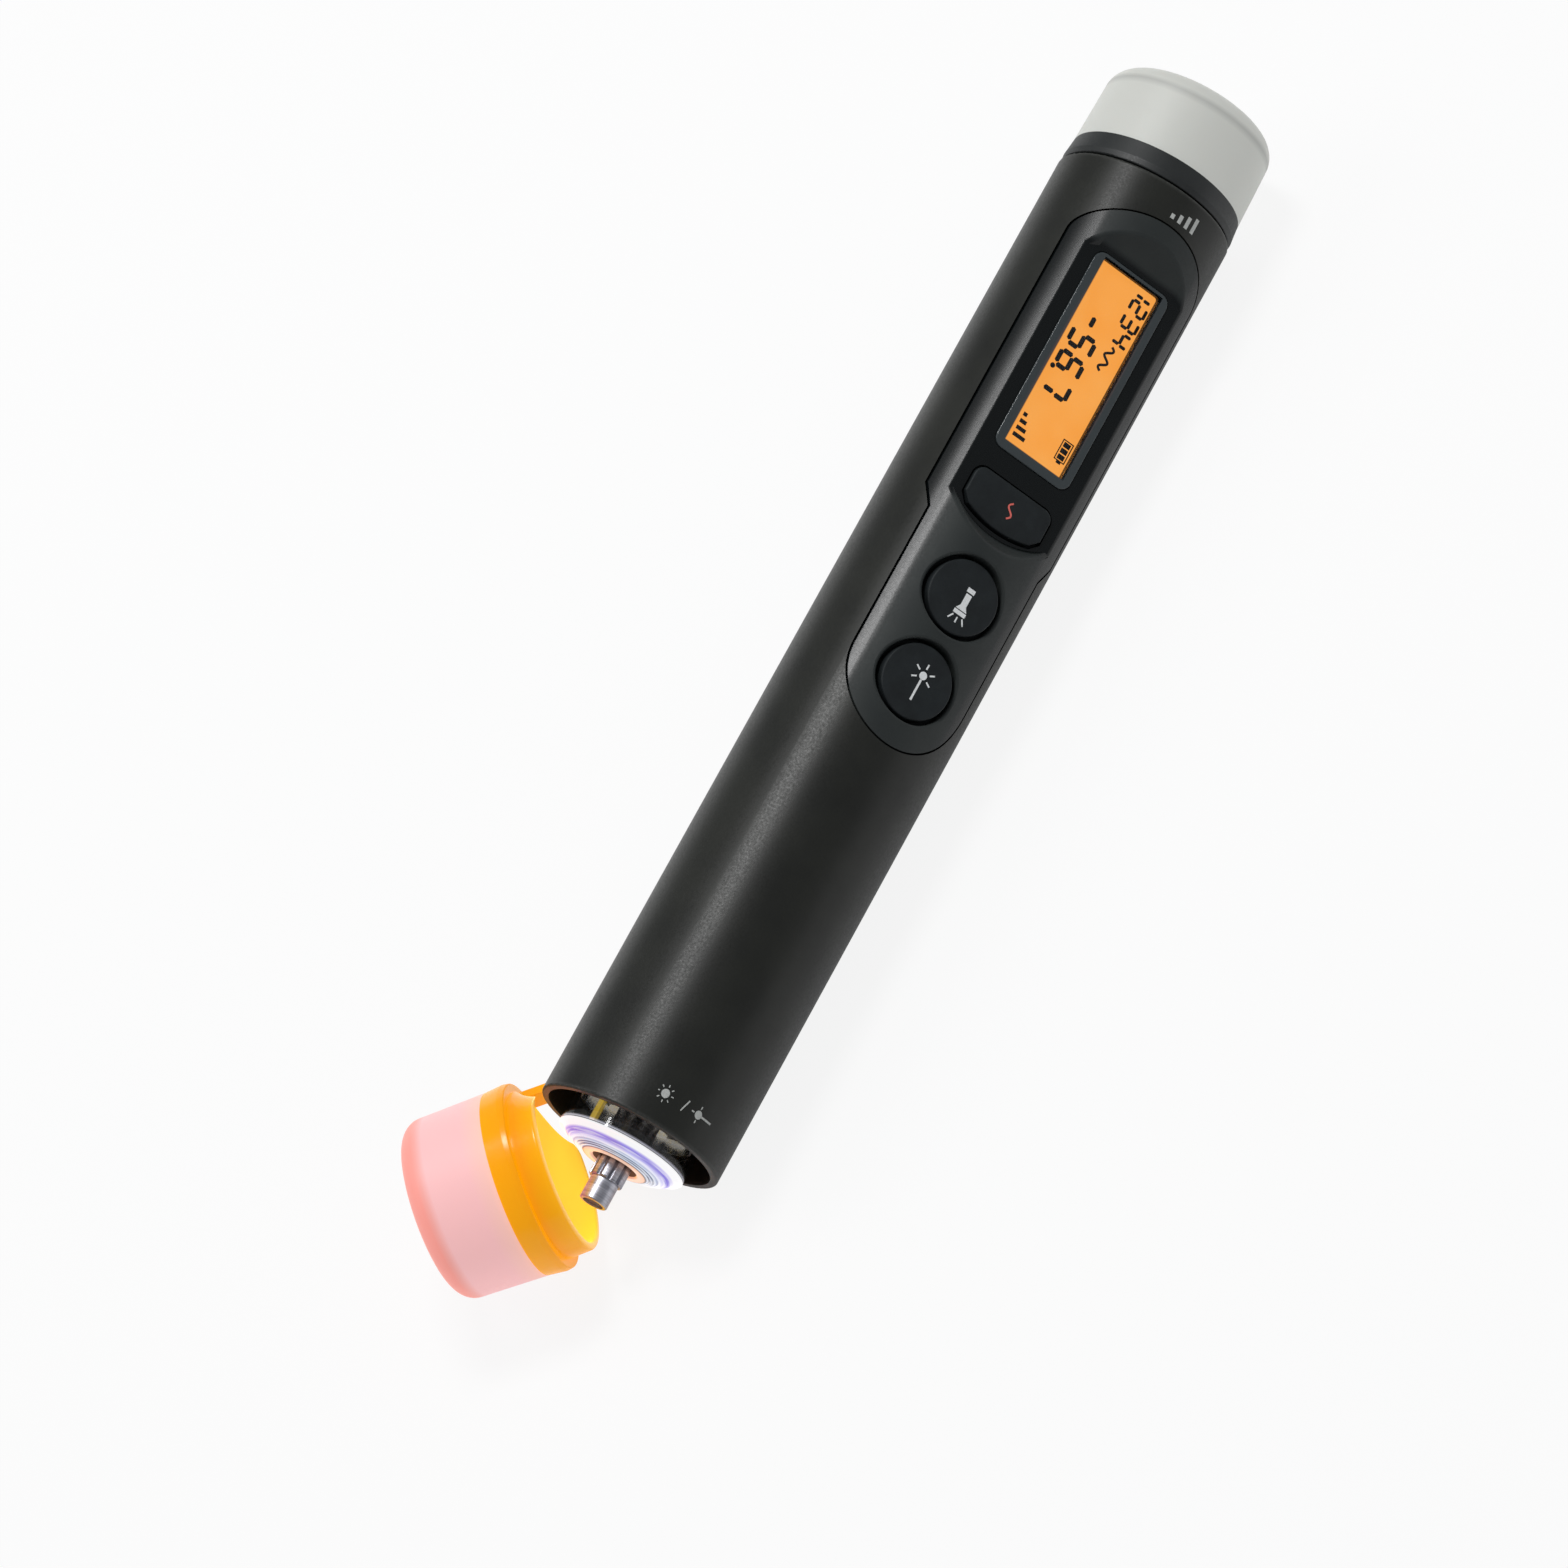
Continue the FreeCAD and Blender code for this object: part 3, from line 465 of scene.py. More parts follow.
join(acrylic, mix_of(acrylic, calc(acrylic, leak, range_of(acrylic, clear, 1, 0)), "#000000", "#8A4A38"),
     shader, "Emission Color")
shader.inputs["Emission Strength"].default_value = 0.4
dress(acrylic, "display_window")
print("cover plate dressed")

# %% [markdown]
# The figures are dark segments on the glass. A seven-segment figure is one bar, used up to seven
# times. The bar is a circle of six corners whose ends are pulled apart in edit mode, which gives the
# pointed ends that real segments have. Each number leans a little, as on most displays.
# %% One segment
def segment(x, y, length, width, upright):
    """One bar of a figure, pointed at both ends, about (x, y) in millimetres."""
    fresh()
    bpy.ops.mesh.primitive_circle_add(vertices=6, radius=width * MM / math.sqrt(3), fill_type="NGON")
    shape = bpy.context.object
    side = 1 if upright else 0
    if not upright:
        shape.data.transform(Matrix.Rotation(math.radians(90), 4, "Z"))
    grow = [0.0, 0.0, 0.0]
    grow[side] = (length - width * 2 / math.sqrt(3)) * MM
    pick(shape, lambda co: co[side] > 1e-6)
    bpy.ops.transform.translate(value=grow)
    bpy.ops.object.mode_set(mode="OBJECT")
    grow[side] /= 2
    shape.data.transform(Matrix.Translation(-Vector(grow)))
    shape.location = (x * MM, y * MM, 0)
    return shape


print("segment ready")

# %% [markdown]
# The segments of a figure are named a to g, clockwise from the top with g in the middle. The table
# says which ones each figure in use lights. The numbers here are plain ones and mean nothing.
# %% Figures
LIT = {"1": "bc", "2": "abged", "3": "abgcd", "4": "fgbc", "5": "afgcd", "6": "afgedc", "7": "abc"}
LEAN = 0.09


def figure(shown, x, y, wide, high, stroke):
    """One seven-segment figure with its lower left corner at (x, y)."""
    half = high / 2
    spots = {"a": (wide / 2, high, 0), "d": (wide / 2, 0, 0), "g": (wide / 2, half, 0),
             "f": (0, high * 0.75, 1), "b": (wide, high * 0.75, 1),
             "e": (0, high * 0.25, 1), "c": (wide, high * 0.25, 1)}
    made = []
    for name in LIT[shown]:
        sx, sy, upright = spots[name]
        length = (half if upright else wide) - stroke * 0.35
        made.append(segment(x + sx + LEAN * sy, y + sy, length, stroke, upright))
    return made


def number(text, x, y, wide, high, stroke, step):
    """Figures side by side from (x, y), each a step on from the last."""
    made = []
    for shown in text:
        if shown == "-":
            made.append(segment(x + wide * 0.75, y + high / 2, wide * 0.72, stroke, False))
        else:
            made += figure(shown, x, y, wide, high, stroke)
        x += step
    return made


segment_black, shader = finish("lcd_segment_black", IOR=1.5)
soot = grain(segment_black, 0.3)
join(segment_black, blend_of(segment_black, [(0.3, "#0E0906"), (0.7, "#1A120B")], soot), shader,
     "Base Color")
join(segment_black, range_of(segment_black, soot, 0.3, 0.7, 0.35, 0.5), shader, "Roughness")
print("figures ready")

# %% [markdown]
# The display reads from the meter end towards the keys, so its own X runs against the barrel's. The
# marks are drawn with that X and laid on the glass half a turn round: a small number above, a large
# one with a minus below, and plain marks for the units: a wave, four steps and a full battery.
# %% Display marks
DISPLAY_AT = (130.4, -0.3)
glass_top = flat_box("display_glass")[1].z
steps = [bar(23.8 + 1.0 * k, -3.75 + 0.22 * k, 0.55, 0.6 + 0.44 * k) for k in range(4)]
battery = [bar(24.85, 4.12, 3.0, 0.15), bar(24.85, 2.56, 3.0, 0.15), bar(23.42, 3.34, 0.15, 1.7),
           bar(26.28, 3.34, 0.15, 1.7), bar(26.5, 3.34, 0.35, 0.7)]
battery += [bar(23.97 + 0.88 * k, 3.34, 0.7, 1.05) for k in range(3)]
unit_wave = wave("unit_wave", 3.7, 0.5, 0.36, 2.0)
unit_wave.location = (11.1 * MM, 2.25 * MM, 0)
shown = number("1234", -0.3, 1.65, wide=1.6, high=2.4, stroke=0.46, step=2.35)
shown += number("-567", 6.5, -3.6, wide=2.15, high=3.6, stroke=0.68, step=3.45)
decimal_point = disc(16.1, -3.75, 0.36)
marks = as_one(shown + [decimal_point, unit_wave] + steps + battery, "display_marks")
lay(marks, *DISPLAY_AT, glass_top + 0.01, 180)
stick(marks, segment_black, "body")
print(len(marks.data.polygons), "faces of display marks")

# %% [markdown]
# The torch's optic is turned round the barrel's axis. A lathe form could come from one outline and a
# Screw modifier. Here a ring of edges is extruded step by step along the axis and scaled, so each
# step is a place and a radius.
# %% Lathe
AROUND = 128


def lathe(name, outline):
    """Turn a closed outline of (x, radius) pairs, in millimetres, about the barrel's axis."""
    fresh()
    x0, r0 = outline[0]
    bpy.ops.mesh.primitive_circle_add(vertices=AROUND, radius=r0 * MM, fill_type="NOTHING",
                                      location=(x0 * MM, 0, 0), rotation=(0, math.radians(90), 0))
    made = bpy.context.object
    made.name = made.data.name = name
    bpy.ops.object.transform_apply(location=True, rotation=True, scale=True)
    bpy.ops.object.mode_set(mode="EDIT")
    bpy.ops.mesh.select_mode(type="EDGE")
    bpy.ops.mesh.select_all(action="SELECT")
    for x, r in outline[1:] + [outline[0]]:
        bpy.ops.mesh.extrude_edges_move(TRANSFORM_OT_translate={"value": ((x - x0) * MM, 0, 0)})
        bpy.ops.transform.resize(value=(1, r / r0, r / r0))
        x0, r0 = x, r
    bpy.ops.mesh.select_all(action="SELECT")
    bpy.ops.mesh.remove_doubles(threshold=1e-7)
    bpy.ops.mesh.normals_make_consistent(inside=False)
    bpy.ops.object.mode_set(mode="OBJECT")
    bpy.ops.object.shade_smooth_by_angle(angle=math.radians(32))
    return made


print("lathe ready")

# %% [markdown]
# The optic is one clear polycarbonate moulding: a skirt that stands in the barrel and a domed front
# with a hole for the ferrule holder. Fine grooves part the dome's middle from its clear rim. Front and
# skirt differ in what shows in them, so they are two pieces.
# %% Lamp optic
lip_x, edge_x, skirt_r, hub_r, bulge = -2.42, -2.05, 8.75, 3.1, 1.7
bore_r, skirt_out, skirt_end, seam = 7.97, 8.74, 4.6, 0.03
groove_deep, groove_from, groove_to = 0.07, 4.5, 6.1
front = [(edge_x, skirt_r), (lip_x + 0.25, skirt_r), (lip_x + 0.08, skirt_r - 0.12)]
dome_steps, first_r, last_r = 26, skirt_r - 0.4, hub_r + 0.25
for k in range(dome_steps + 1):
    share = k / dome_steps
    r = first_r + (last_r - first_r) * share
    groove = groove_deep if k % 2 and groove_from < r < groove_to else 0
    front.append((lip_x - bulge * (1 - (1 - share) ** 2) + groove, r))
front += [(lip_x - bulge + 0.2, hub_r), (edge_x + 0.4, hub_r), (edge_x + 0.4, 7.6), (edge_x, bore_r)]
lamp_front = lathe("lamp_front", front)
lamp_skirt = lathe("lamp_skirt", [(edge_x + seam, bore_r), (skirt_end, bore_r), (skirt_end, skirt_out),
                                  (edge_x + seam, skirt_out)])
print("lamp optic turned")

# %% [markdown]
# The front glows: white near the rim, where the chips shine straight through, violet-blue inside that,
# where the lens splits the light, then dark and bright arcs where it shows the bowl's edge, and warm
# near the middle, where the amber cap mirrors in it. All of this follows the distance from the axis, so
# the radius drives a colour ramp, and a noise that is stretched round the axis breaks the rings into
# streaks. The colours show most on the upper side, and what faces sideways or back stays dark. These
# are reflections drawn as emission: they do not move with the eye, and they show under any lamp.
# %% Light in the optic
lamp_glow, shader = finish("lit_polycarbonate_optic", IOR=1.58, Roughness=0.08, Emission_Strength=0.86)
where = place_of(lamp_glow)
parts = axes_of(lamp_glow, where)
across = add(lamp_glow, "ShaderNodeCombineXYZ", {"Y": parts["Y"], "Z": parts["Z"]}).outputs["Vector"]
radius = add(lamp_glow, "ShaderNodeVectorMath", {0: across}, operation="LENGTH").outputs["Value"]
turn = calc(lamp_glow, parts["Y"], parts["Z"], "ARCTAN2")
fan = add(lamp_glow, "ShaderNodeCombineXYZ", {"X": calc(lamp_glow, radius, 2600.0),
                                              "Y": calc(lamp_glow, turn, 1.1)}).outputs["Vector"]
streaks = add(lamp_glow, "ShaderNodeTexNoise", {"Vector": fan, "Scale": 1.0, "Detail": 2.0}).outputs["Fac"]
rings = blend_of(lamp_glow, [(0.0, "#E9A27A"), (0.08, "#FFD6BC"), (0.21, "#F6C4A4"), (0.245, "#40343A"),
                             (0.28, "#DCE6F6"), (0.33, "#3E4C66"), (0.37, "#CBD8EC"), (0.41, "#52617C"),
                             (0.45, "#DDE8F8"), (0.50, "#8C9AC0"), (0.55, "#EEF2FF"), (0.63, "#BDB8F2"),
                             (0.71, "#7465D8"), (0.77, "#A095EA"), (0.83, "#FFFFFF"), (1.0, "#FFFFFF")],
                 range_of(lamp_glow, radius, hub_r * MM, skirt_r * MM))
UP_Y, UP_Z = -0.5, 0.87
upward = calc(lamp_glow, calc(lamp_glow, parts["Z"], UP_Z), calc(lamp_glow, parts["Y"], UP_Y), "ADD")
lit_side = range_of(lamp_glow, upward, -3.0 * MM, 2.0 * MM, 0.9, 0.0)
pale = calc(lamp_glow, lit_side, range_of(lamp_glow, streaks, 0.40, 0.62, -0.3, 0.45), "ADD")
pale = calc(lamp_glow, pale, range_of(lamp_glow, radius, 4.4 * MM, 5.0 * MM))
tinted = mix_of(lamp_glow, range_of(lamp_glow, pale, 0, 1), rings, "#FFFFFF")
facing = axes_of(lamp_glow, add(lamp_glow, "ShaderNodeTexCoord").outputs["Normal"])["X"]
outward = range_of(lamp_glow, facing, 0.05, -0.25)
join(lamp_glow, mix_of(lamp_glow, outward, "#000000", tinted), shader, "Emission Color")
join(lamp_glow, mix_of(lamp_glow, outward, "#101114", "#3A3850"), shader, "Base Color")

# The skirt is tinted dark and half clear, for the dark inside seen through it. Its front edge is painted
# white with emission, as painted light from the front's glow, and a yellow streak of emission is painted on
# it, as a chip's light seen through it.
clear_skirt, shader = finish("clear_polycarbonate_skirt", IOR=1.58, Roughness=0.05)
spot = axes_of(clear_skirt, place_of(clear_skirt))
edge_light = range_of(clear_skirt, spot["X"], -1.7 * MM, -2.2 * MM)
STREAK_Y, STREAK_CORE, STREAK_EDGE = 1.0 * MM, 0.3 * MM, 0.5 * MM
beside = off_from(clear_skirt, spot["Y"], STREAK_Y)
chip_streak = calc(clear_skirt, range_of(clear_skirt, beside, STREAK_EDGE, STREAK_CORE),
                   range_of(clear_skirt, spot["Z"], 0.0, 1.0 * MM))
bright = calc(clear_skirt, edge_light, chip_streak, "MAXIMUM")
join(clear_skirt, mix_of(clear_skirt, edge_light, "#1A1C1B", "#F4F4FA"), shader, "Base Color")
join(clear_skirt, range_of(clear_skirt, bright, 0, 1, 0.45, 0.9), shader, "Alpha")
glints = mix_of(clear_skirt, chip_streak, "#000000", "#C9A83A")
join(clear_skirt, mix_of(clear_skirt, edge_light, glints, "#D9D8EE"), shader, "Emission Color")
shader.inputs["Emission Strength"].default_value = 0.7
for piece, material in ((lamp_front, lamp_glow), (lamp_skirt, clear_skirt)):
    piece.data.materials.append(material)
    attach(piece, "body")
    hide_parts("lamp_lens")
print("lamp lit")

# %% [markdown]
# Behind the optic sit a white ring board, six light chips with their yellow phosphor, and a bright
# bowl. The chips give the light, so they have emission. The bowl is plastic with a vapour of aluminium
# on it: a metal finish that is nearly, not quite, a mirror.
# %% Chips, board and bowl
phosphor, shader = finish("led_phosphor", IOR=1.5, Roughness=0.5, Emission_Strength=0.8)
spots = grain(phosphor, 0.5)
join(phosphor, blend_of(phosphor, [(0.3, "#F4C63A"), (0.6, "#FFE48A")], spots), shader, "Base Color")
join(phosphor, blend_of(phosphor, [(0.3, "#FFF1C4"), (0.6, "#FFFFFF")], spots), shader, "Emission Color")
dress(phosphor, "lamp_chips")

white_board, shader = finish("white_solder_mask", IOR=1.52, Roughness=0.4)
weave = grain(white_board, 0.4)
join(white_board, blend_of(white_board, [(0.3, "#DADCD8"), (0.7, "#ECEDEA")], weave), shader, "Base Color")
relief(white_board, shader, weave, 0.01, 0.3)
dress(white_board, "lamp_board")

bowl, shader = finish("aluminised_plastic", Metallic=1.0)
breath = grain(bowl, 1.2)
join(bowl, blend_of(bowl, [(0.3, "#D5D7DA"), (0.7, "#E9EAEC")], breath), shader, "Base Color")
join(bowl, range_of(bowl, breath, 0.3, 0.7, 0.08, 0.2), shader, "Roughness")
dress(bowl, "lamp_reflector")
print("chips lit")

# %% [markdown]
# The ferrule holder is turned from brass and plated with nickel, with flutes for the fingers. Turning
# leaves rings round the axis, a few hundredths of a millimetre apart; drawn ten times coarser, they
# still read as turned metal. In the ten grooves of the grip the plating is painted darker, as painted
# shade; the first groove is at the top. The meter's port is the same metal, and the hinge pins are blued
# steel.
# %% Turned metals
def turned_metal(name, dark, light, ring_mm, low, high):
    """Metal with fine rings round the barrel's axis, and roughness between low and high."""
    material, shader = finish(name, Metallic=1.0)
    where = place_of(material)
    stretched = add(material, "ShaderNodeMapping", {"Vector": where, "Scale": (1, 0.04, 0.04)})
    rings = grain(material, ring_mm, stretched.outputs["Vector"], 2.0)
    join(material, blend_of(material, [(0.35, dark), (0.65, light)], rings), shader, "Base Color")
    join(material, range_of(material, rings, 0.3, 0.7, low, high), shader, "Roughness")
    relief(material, shader, rings, 0.01, 0.35)
    return material


nickel = turned_metal("nickel_plated_brass", "#A6A6AE", "#CFCFD8", 0.3, 0.3, 0.44)
FLUTES, GRIP_FIRST, GRIP_LAST, GRIP_FADE = 10.0, -6.5 * MM, -2.6 * MM, 0.1 * MM
shader = nickel.node_tree.nodes["Principled BSDF"]
parts = axes_of(nickel, place_of(nickel))
turn = calc(nickel, parts["Y"], parts["Z"], "ARCTAN2")
round_grip = add(nickel, "ShaderNodeMath", {0: calc(nickel, turn, FLUTES)},
                 operation="COSINE").outputs["Value"]
on_grip = calc(nickel, range_of(nickel, parts["X"], GRIP_FIRST, GRIP_FIRST + GRIP_FADE),
               range_of(nickel, parts["X"], GRIP_LAST, GRIP_LAST - GRIP_FADE))
# Painted shade: the plating is darker in the grip's ten grooves.
groove = calc(nickel, on_grip, range_of(nickel, round_grip, 0.1, 0.7))
plating = shader.inputs["Base Color"].links[0].from_socket
join(nickel, mix_of(nickel, groove, plating, "#70707A"), shader, "Base Color")
dress(nickel, "ferrule_adapter", "meter_adapter")
dress(turned_metal("blued_steel_pin", "#3A3C3F", "#505356", 0.2, 0.25, 0.38), "laser_hinge_pin",
      "meter_hinge_pin")
dress(turned_metal("turned_brass_module", "#A98338", "#C9A24C", 0.3, 0.25, 0.4), "laser_module")
dress(turned_metal("blackened_steel_screw", "#26282A", "#3A3C3E", 0.2, 0.3, 0.45), "meter_screws")
dress(turned_metal("steel_detector_can", "#9FA1A3", "#B9BBBD", 0.3, 0.2, 0.35), "meter_detector")
dress(turned_metal("spring_steel_contact", "#A7A59C", "#C4C2B8", 0.3, 0.2, 0.32), "contact_front",
      "contact_rear")
print("metals dressed")

# %% [markdown]
# Each end cap is two mouldings: a collar with the plug, and a cup pressed into it. At the laser end the
# collar is glossy amber polycarbonate and the cup a pink, frosted one; at the meter end the collar is
# black and the cup milky grey. Frosted plastic scatters light inside, which Subsurface stands for. The
# closed end and the step where it rounds off are drawn in deeper or darker colours: partly the thicker
# wall, partly painted shade on the rounded edge. The band follows the distance along the cap, so a
# Mapping node gives each cup its own axis, also for the cap that stands open: that one has turned about
# its hinge pin, and where its mouth has gone follows from the pin's place. The cups also have emission,
# in place of strong lamps shining through them. A real cup has none: turn glow to 0 under other lamps.
# %% Frosted cups
CAP_LEN = flat_box("meter_cap_cup")[1].x * MM - barrel_len
COLLAR_LEN = 3.5 * MM
OPEN_TURN = math.radians(-48.7)
pin = panel_turn @ sum(flat_box("laser_hinge_pin"), Vector()) / 2 * MM
open_mouth = pin - Matrix.Rotation(OPEN_TURN, 3, "Z") @ pin
shut_mouth = (barrel_len, 0, 0)


def cap_axis(material, mouth, turn):
    """A point in a cap's own frame: X is 0 at its mouth and negative towards its closed end."""
    own = add(material, "ShaderNodeMapping", {"Vector": place_of(material), "Location": mouth,
                                              "Rotation": (0, 0, turn)}, vector_type="TEXTURE")
    return own.outputs["Vector"]


def frosted(name, mouth, turn, end, step, middle, collar_side, glow):
    """A cup's plastic, in four colours from its closed end to its collar; glow is its emission."""
    material, shader = finish(name, IOR=1.5, Subsurface_Weight=0.35, Subsurface_Scale=0.003,
                              Subsurface_Radius=(1.0, 0.8, 0.7))
    own = cap_axis(material, mouth, turn)
    along = axes_of(material, own)["X"]
    drift = grain(material, 14.0, own, 1.0)
    shifted = calc(material, along, range_of(material, drift, 0.3, 0.7, -0.1 * MM, 0.1 * MM), "ADD")
    part = range_of(material, shifted, -CAP_LEN, -COLLAR_LEN)
    # The end and step colours carry the thicker wall and painted shade on the rounded edge.
    colour = blend_of(material, [(0.0, end), (0.17, end), (0.225, step), (0.30, middle), (0.75, middle),
                                 (1.0, collar_side)], part)
    frost = grain(material, 0.25, own)
    join(material, colour, shader, "Base Color")
    join(material, colour, shader, "Emission Color")
    shader.inputs["Emission Strength"].default_value = glow
    join(material, range_of(material, frost, 0.3, 0.7, 0.42, 0.56), shader, "Roughness")
    relief(material, shader, frost, 0.006, 0.4)
    return material


pink_cup = frosted("frosted_pink_polypropylene", open_mouth, OPEN_TURN, "#C47C73", "#C0857F", "#C49797",
                   "#C49C90", glow=1.0)
milky_cup = frosted("frosted_milky_polypropylene", shut_mouth, math.pi, "#B0B1AC", "#9C9D99", "#B0B1AC",
                    "#B0B1AC", glow=0.48)
dress(pink_cup, "laser_cap_cup")
dress(milky_cup, "meter_cap_cup")
print("cups frosted")

# %% [markdown]
# The amber collar is dyed polycarbonate, polished and saturated. A pale line along its rim is a painted
# highlight. Its inside is painted paler and yellower, as painted light from the lamp beside it shining
# into it; its emission takes the place of that lamp too, and is as unreal as the cups'. The black collar
# is the panel's plastic.
# %% Collars
PLUG_LEN = 3.4 * MM
WALL_FROM, WALL_TO = 10.0 * MM, 10.3 * MM
RIM_FROM, RIM_TO, RIM_IN, RIM_OUT = 2.9 * MM, 3.2 * MM, 11.5 * MM, 11.8 * MM
amber, shader = finish("dyed_amber_polycarbonate", IOR=1.58, Subsurface_Weight=0.2, Subsurface_Scale=0.002,
                       Subsurface_Radius=(1.0, 0.4, 0.02), Specular_IOR_Level=0.25, Emission_Strength=0.55)
own = cap_axis(amber, open_mouth, OPEN_TURN)
spot = axes_of(amber, own)
along = spot["X"]
swirl = range_of(amber, grain(amber, 7.0, own, 1.0), 0.3, 0.7, -0.5 * MM, 0.5 * MM)
part = range_of(amber, calc(amber, along, swirl, "ADD"), -COLLAR_LEN, PLUG_LEN)
# The colour runs a little darker in the middle and lighter towards the plug's end.
amber_and_rim_highlight = blend_of(amber, [(0.0, "#D08400"), (0.30, "#D07E00"), (0.52, "#CC7200"), (0.8, "#D08800"),
                       (1.0, "#DC9C10")], part)
from_axis = add(amber, "ShaderNodeVectorMath", {
    0: add(amber, "ShaderNodeCombineXYZ", {"Y": spot["Y"], "Z": spot["Z"]}).outputs["Vector"]},
    operation="LENGTH").outputs["Value"]
within = range_of(amber, from_axis, WALL_TO, WALL_FROM)
# Painted highlight: a pale line along the plug's rim.
rim = calc(amber, range_of(amber, along, RIM_FROM, RIM_TO), range_of(amber, from_axis, RIM_OUT, RIM_IN))
amber_and_rim_highlight = mix_of(amber, rim, amber_and_rim_highlight, "#FFE49A")
# Painted light: the inside is paler and yellower, as lit by the lamp beside it.
join(amber, mix_of(amber, within, amber_and_rim_highlight, "#F4BE1C"), shader, "Base Color")
join(amber, mix_of(amber, within, "#F5A800", "#FFD648"), shader, "Emission Color")
join(amber, range_of(amber, grain(amber, 0.4, own), 0.3, 0.7, 0.16, 0.26), shader, "Roughness")
dress(amber, "laser_cap_collar")

collar_black, shader = finish("moulded_abs_collar", IOR=1.5)
where = place_of(collar_black)
pebbles = grain(collar_black, 0.28, where)
clouds = grain(collar_black, 5.0, where)
join(collar_black, blend_of(collar_black, [(0.3, "#1D2020"), (0.7, "#252828")], clouds), shader,
     "Base Color")
join(collar_black, range_of(collar_black, pebbles, 0.3, 0.7, 0.42, 0.54), shader, "Roughness")
relief(collar_black, shader, pebbles, 0.01, 0.4)
dress(collar_black, "meter_cap_collar")
print("collars dressed")

# %% [markdown]
# What the barrel hides is finished too, for the day when somebody opens it: a green board with tinned
# pads, black switches, two cells in a plain two-tone sleeve, a black chassis, the bulkheads and the
# ceramic ferrule sleeve. These are simple finishes with one pattern each.
# %% Inside
def plain(name, dark, light, size_mm, low, high):
    """A finish in two tones, with roughness between low and high."""
    material, shader = finish(name, IOR=1.5)
    lumps = grain(material, size_mm)
    join(material, blend_of(material, [(0.3, dark), (0.7, light)], lumps), shader, "Base Color")
    join(material, range_of(material, lumps, 0.3, 0.7, low, high), shader, "Roughness")
    relief(material, shader, lumps, 0.008, 0.3)
    return material


dress(plain("glass_filled_nylon_chassis", "#191A1B", "#222426", 0.4, 0.5, 0.65), "chassis")
dress(plain("black_nylon_bulkhead", "#17191A", "#1F2223", 0.35, 0.45, 0.6), "lamp_seat", "meter_seat")
dress(plain("switch_thermoplastic", "#141516", "#1E1F21", 0.3, 0.4, 0.55), "key_switches")
dress(plain("zirconia_ceramic", "#E9E8E3", "#F4F3EF", 0.6, 0.1, 0.2), "ferrule_sleeve")

solder_mask, shader = finish("green_solder_mask", IOR=1.52)
where = place_of(solder_mask)
grid = add(solder_mask, "ShaderNodeTexBrick", {
    "Vector": in_panel_frame(solder_mask, where), "Scale": 1.0, "Mortar Size": 0.22 * MM,
    "Mortar Smooth": 0.1, "Brick Width": 5.1 * MM, "Row Height": 1.9 * MM,
    "Color1": linear("#0E5A34"), "Color2": linear("#12663C"), "Mortar": linear("#1E8450")})
pads = range_of(solder_mask, grain(solder_mask, 1.1, where, 0.0), 0.68, 0.70)
join(solder_mask, mix_of(solder_mask, pads, grid.outputs["Color"], "#C9B37A"), shader, "Base Color")
join(solder_mask, range_of(solder_mask, pads, 0, 1, 0.32, 0.25), shader, "Roughness")
join(solder_mask, pads, shader, "Metallic")
dress(solder_mask, "circuit_board")

cell_wrap, shader = finish("printed_cell_sleeve", IOR=1.5, Coat_Weight=0.5, Coat_Roughness=0.15)
along = axes_of(cell_wrap, place_of(cell_wrap))["X"]
front_x, step_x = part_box("cell_front")[0].x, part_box("cell_rear")[0].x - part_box("cell_front")[0].x
in_cell = calc(cell_wrap, calc(cell_wrap, along, front_x, "SUBTRACT"), step_x, "MODULO")
along_cell = range_of(cell_wrap, in_cell, 0.0, step_x)
bands = blend_of(cell_wrap, [(0.0, "#C9CACC"), (0.02, "#C9CACC"), (0.025, "#22272E"), (0.70, "#22272E"),
                             (0.705, "#B8763A"), (0.965, "#B8763A"), (0.97, "#C9CACC"),
                             (1.0, "#D5D6D8")], along_cell)
join(cell_wrap, bands, shader, "Base Color")
bare = calc(cell_wrap, range_of(cell_wrap, along_cell, 0.022, 0.018),
              range_of(cell_wrap, along_cell, 0.967, 0.972), "MAXIMUM")
join(cell_wrap, bare, shader, "Metallic")
join(cell_wrap, range_of(cell_wrap, grain(cell_wrap, 0.5), 0.3, 0.7, 0.3, 0.42), shader, "Roughness")
dress(cell_wrap, "cell_front", "cell_rear")
print("inside dressed")

# %% [markdown]
# The barrel carries two small printed marks, one by each rim, that tell the ends apart: a dot with a
# beam beside a small sun at the laser end, and four rising steps at the meter end. They are drawn
# flat, cut fine enough to bend, and pressed onto the tube with a Shrinkwrap modifier, as ink would lie.
# %% Marks on the barrel
HOVER_R = 12.9


def on_barrel(mark, x, angle, turn):
    """Press a flat mark onto the barrel at x millimetres and an angle from straight up towards -Y."""
    fresh()
    mark.select_set(True)
    bpy.context.view_layer.objects.active = mark
    bpy.ops.object.mode_set(mode="EDIT")
    bpy.ops.mesh.select_all(action="SELECT")
    bpy.ops.mesh.quads_convert_to_tris()
    bpy.ops.mesh.subdivide(number_cuts=3)
    bpy.ops.object.mode_set(mode="OBJECT")
    place = Matrix.Rotation(math.radians(angle), 4, "X") @ Matrix.Translation((x * MM, 0, HOVER_R * MM))
    mark.matrix_world = place @ Matrix.Rotation(math.radians(turn), 4, "Z")
    bpy.ops.object.transform_apply(location=True, rotation=True, scale=True)
    press = mark.modifiers.new("press", "SHRINKWRAP")
    press.target = nodes["barrel"]
    press.wrap_method = "NEAREST_SURFACEPOINT"
    press.offset = 0.02 * MM
    bpy.ops.object.modifier_apply(modifier="press")
    return mark


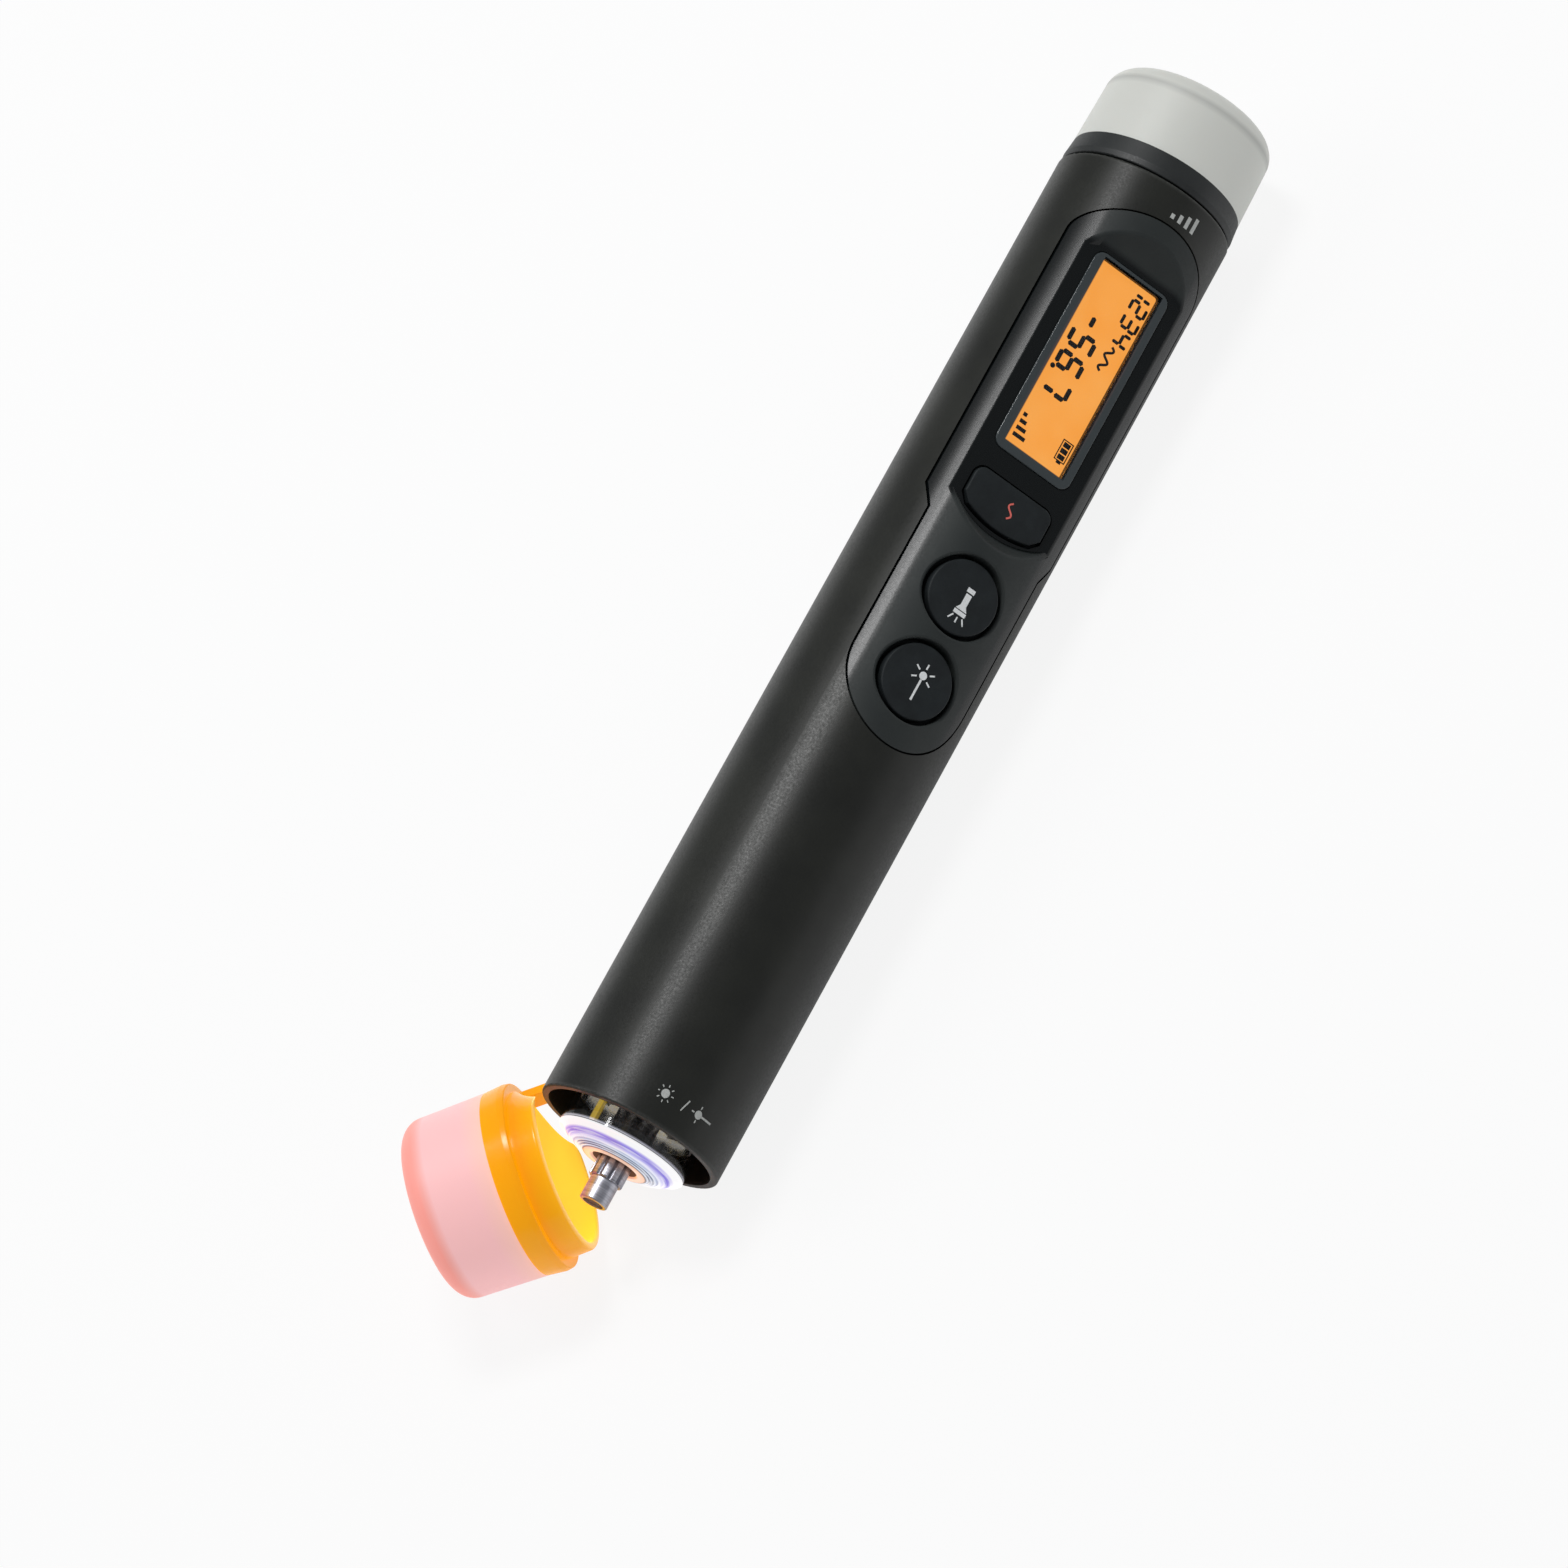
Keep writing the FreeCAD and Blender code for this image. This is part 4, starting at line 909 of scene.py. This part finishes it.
def sun(x, y, r):
    """A disc with eight short spokes."""
    out = 1.75 * r
    spokes = [bar(x + out * math.cos(a), y + out * math.sin(a), 0.55 * r, 0.24 * r, math.degrees(a))
              for a in (k * math.pi / 4 for k in range(8))]
    return [disc(x, y, r)] + spokes


beam = [disc(2.5, 0, 0.58), bar(4.0, 0, 2.0, 0.26), bar(2.5, 0.95, 0.2, 0.42), bar(2.5, -0.95, 0.2, 0.42),
        bar(1.55, 0, 0.42, 0.2)]
laser_end_mark = as_one(beam + [bar(0.2, 0, 0.2, 1.8, -18)] + sun(-2.9, 0, 0.6), "laser_end_mark")
meter_end_mark = as_one([bar(-1.8 + 1.2 * k, -0.65 + 0.25 * k, 0.6, 0.7 + 0.5 * k) for k in range(4)],
                        "meter_end_mark")
on_barrel(laser_end_mark, 4.1, LEAN_DEG - 1.5, -90)
on_barrel(meter_end_mark, 139.75, LEAN_DEG + 6.0, -90)
stick(laser_end_mark, grey_ink, "body")
stick(meter_end_mark, grey_ink, "body")
print("barrel printed")

# %% [markdown]
# The tool lies on a white table under one broad, soft lamp and a pale room. The table is white paint:
# where the camera looks at it, most of its light is its own, so it shows white and still keeps a faint
# shadow under the tool. Mirrors and glass see it nearly as white; diffuse surfaces see plain paint.
# %% Table
PAINT, SEEN_SHARE, MIRROR_SHARE = 0.88, 0.88, 0.35
fresh()
floor_z = cad_box[0][2]
bpy.ops.mesh.primitive_plane_add(size=6, location=(0.07, 0, floor_z))
table = bpy.context.object
table.name = "table"
paint = bpy.data.materials.new("white_table_paint")
paint.use_nodes = True
for node in list(paint.node_tree.nodes):
    paint.node_tree.nodes.remove(node)
matt = add(paint, "ShaderNodeBsdfDiffuse", {"Color": (PAINT, PAINT, PAINT, 1)})
own_light = add(paint, "ShaderNodeEmission", {"Color": (1, 1, 1, 1), "Strength": 1.0})
ways = add(paint, "ShaderNodeLightPath").outputs
mirrored = calc(paint, ways["Is Glossy Ray"], ways["Is Transmission Ray"], "MAXIMUM")
share = calc(paint, calc(paint, ways["Is Camera Ray"], SEEN_SHARE), calc(paint, mirrored, MIRROR_SHARE),
             "MAXIMUM")
blend = add(paint, "ShaderNodeMixShader",
            {0: share, 1: matt.outputs["BSDF"], 2: own_light.outputs["Emission"]})
add(paint, "ShaderNodeOutputMaterial", {"Surface": blend.outputs["Shader"]})
table.data.materials.append(paint)
print("table at", round(floor_z / MM, 2), "mm")

# %% [markdown]
# One large lamp hangs above and to the left of the barrel. Its place follows from the highlight: the
# barrel mirrors it along one line, so the direction to the lamp is the camera's direction turned over
# about the surface there. A second, dim one brightens the side of the hinges, and the world is a pale
# grey room.
# %% Light
def lamp(name, place, look_at, size_x, size_y, power):
    """A rectangular lamp that faces a point; sizes are in metres and power in watts."""
    fresh()
    bpy.ops.object.light_add(type="AREA", location=place)
    made = bpy.context.object
    made.name = name
    made.data.shape = "RECTANGLE"
    made.data.size, made.data.size_y = size_x, size_y
    made.data.energy = power
    made.rotation_euler = (Vector(place) - Vector(look_at)).to_track_quat("Z", "Y").to_euler()
    return made


middle = Vector((0.062, 0.0, 0.0))
lamp("key_lamp", middle + Vector((0.29, 0.17, 0.94)) * 0.8, middle, size_x=0.24, size_y=0.18, power=3.1)
lamp("fill_lamp", middle + Vector((-0.25, 0.65, 0.72)) * 0.9, middle, size_x=0.4, size_y=0.4, power=1.6)
world = bpy.data.worlds.new("pale_room")
bpy.context.scene.world = world
world.use_nodes = True
world.node_tree.nodes["Background"].inputs["Color"].default_value = (0.93, 0.96, 1.0, 1)
world.node_tree.nodes["Background"].inputs["Strength"].default_value = 0.3
print("lamps hung")

# %% [markdown]
# The camera stands high above the laser end and looks down the tool's length with a long lens, so the
# near and far ends are almost the same size.
# %% Camera
right = Vector((0.4644, -0.8240, -0.3245))
up = Vector((0.8382, 0.2907, 0.4615))
back = Vector((-0.2860, -0.4863, 0.8256))
eye = Vector((-0.2411, -0.4917, 0.8437))
turn = Matrix((right, up, back)).transposed().to_4x4()
fresh()
bpy.ops.object.camera_add()
camera = bpy.context.object
camera.matrix_world = Matrix.Translation(eye) @ turn
camera.data.lens = 183.7
camera.data.sensor_width = 36.0
bpy.context.scene.camera = camera
bpy.context.scene.view_settings.view_transform = "Standard"
print("camera set")

# %% [markdown]
# Last, the size of the bare parts is printed.
# %% Size of the bare parts
print("bare", [[round(c / MM, 2) for c in v] for v in cad_box])
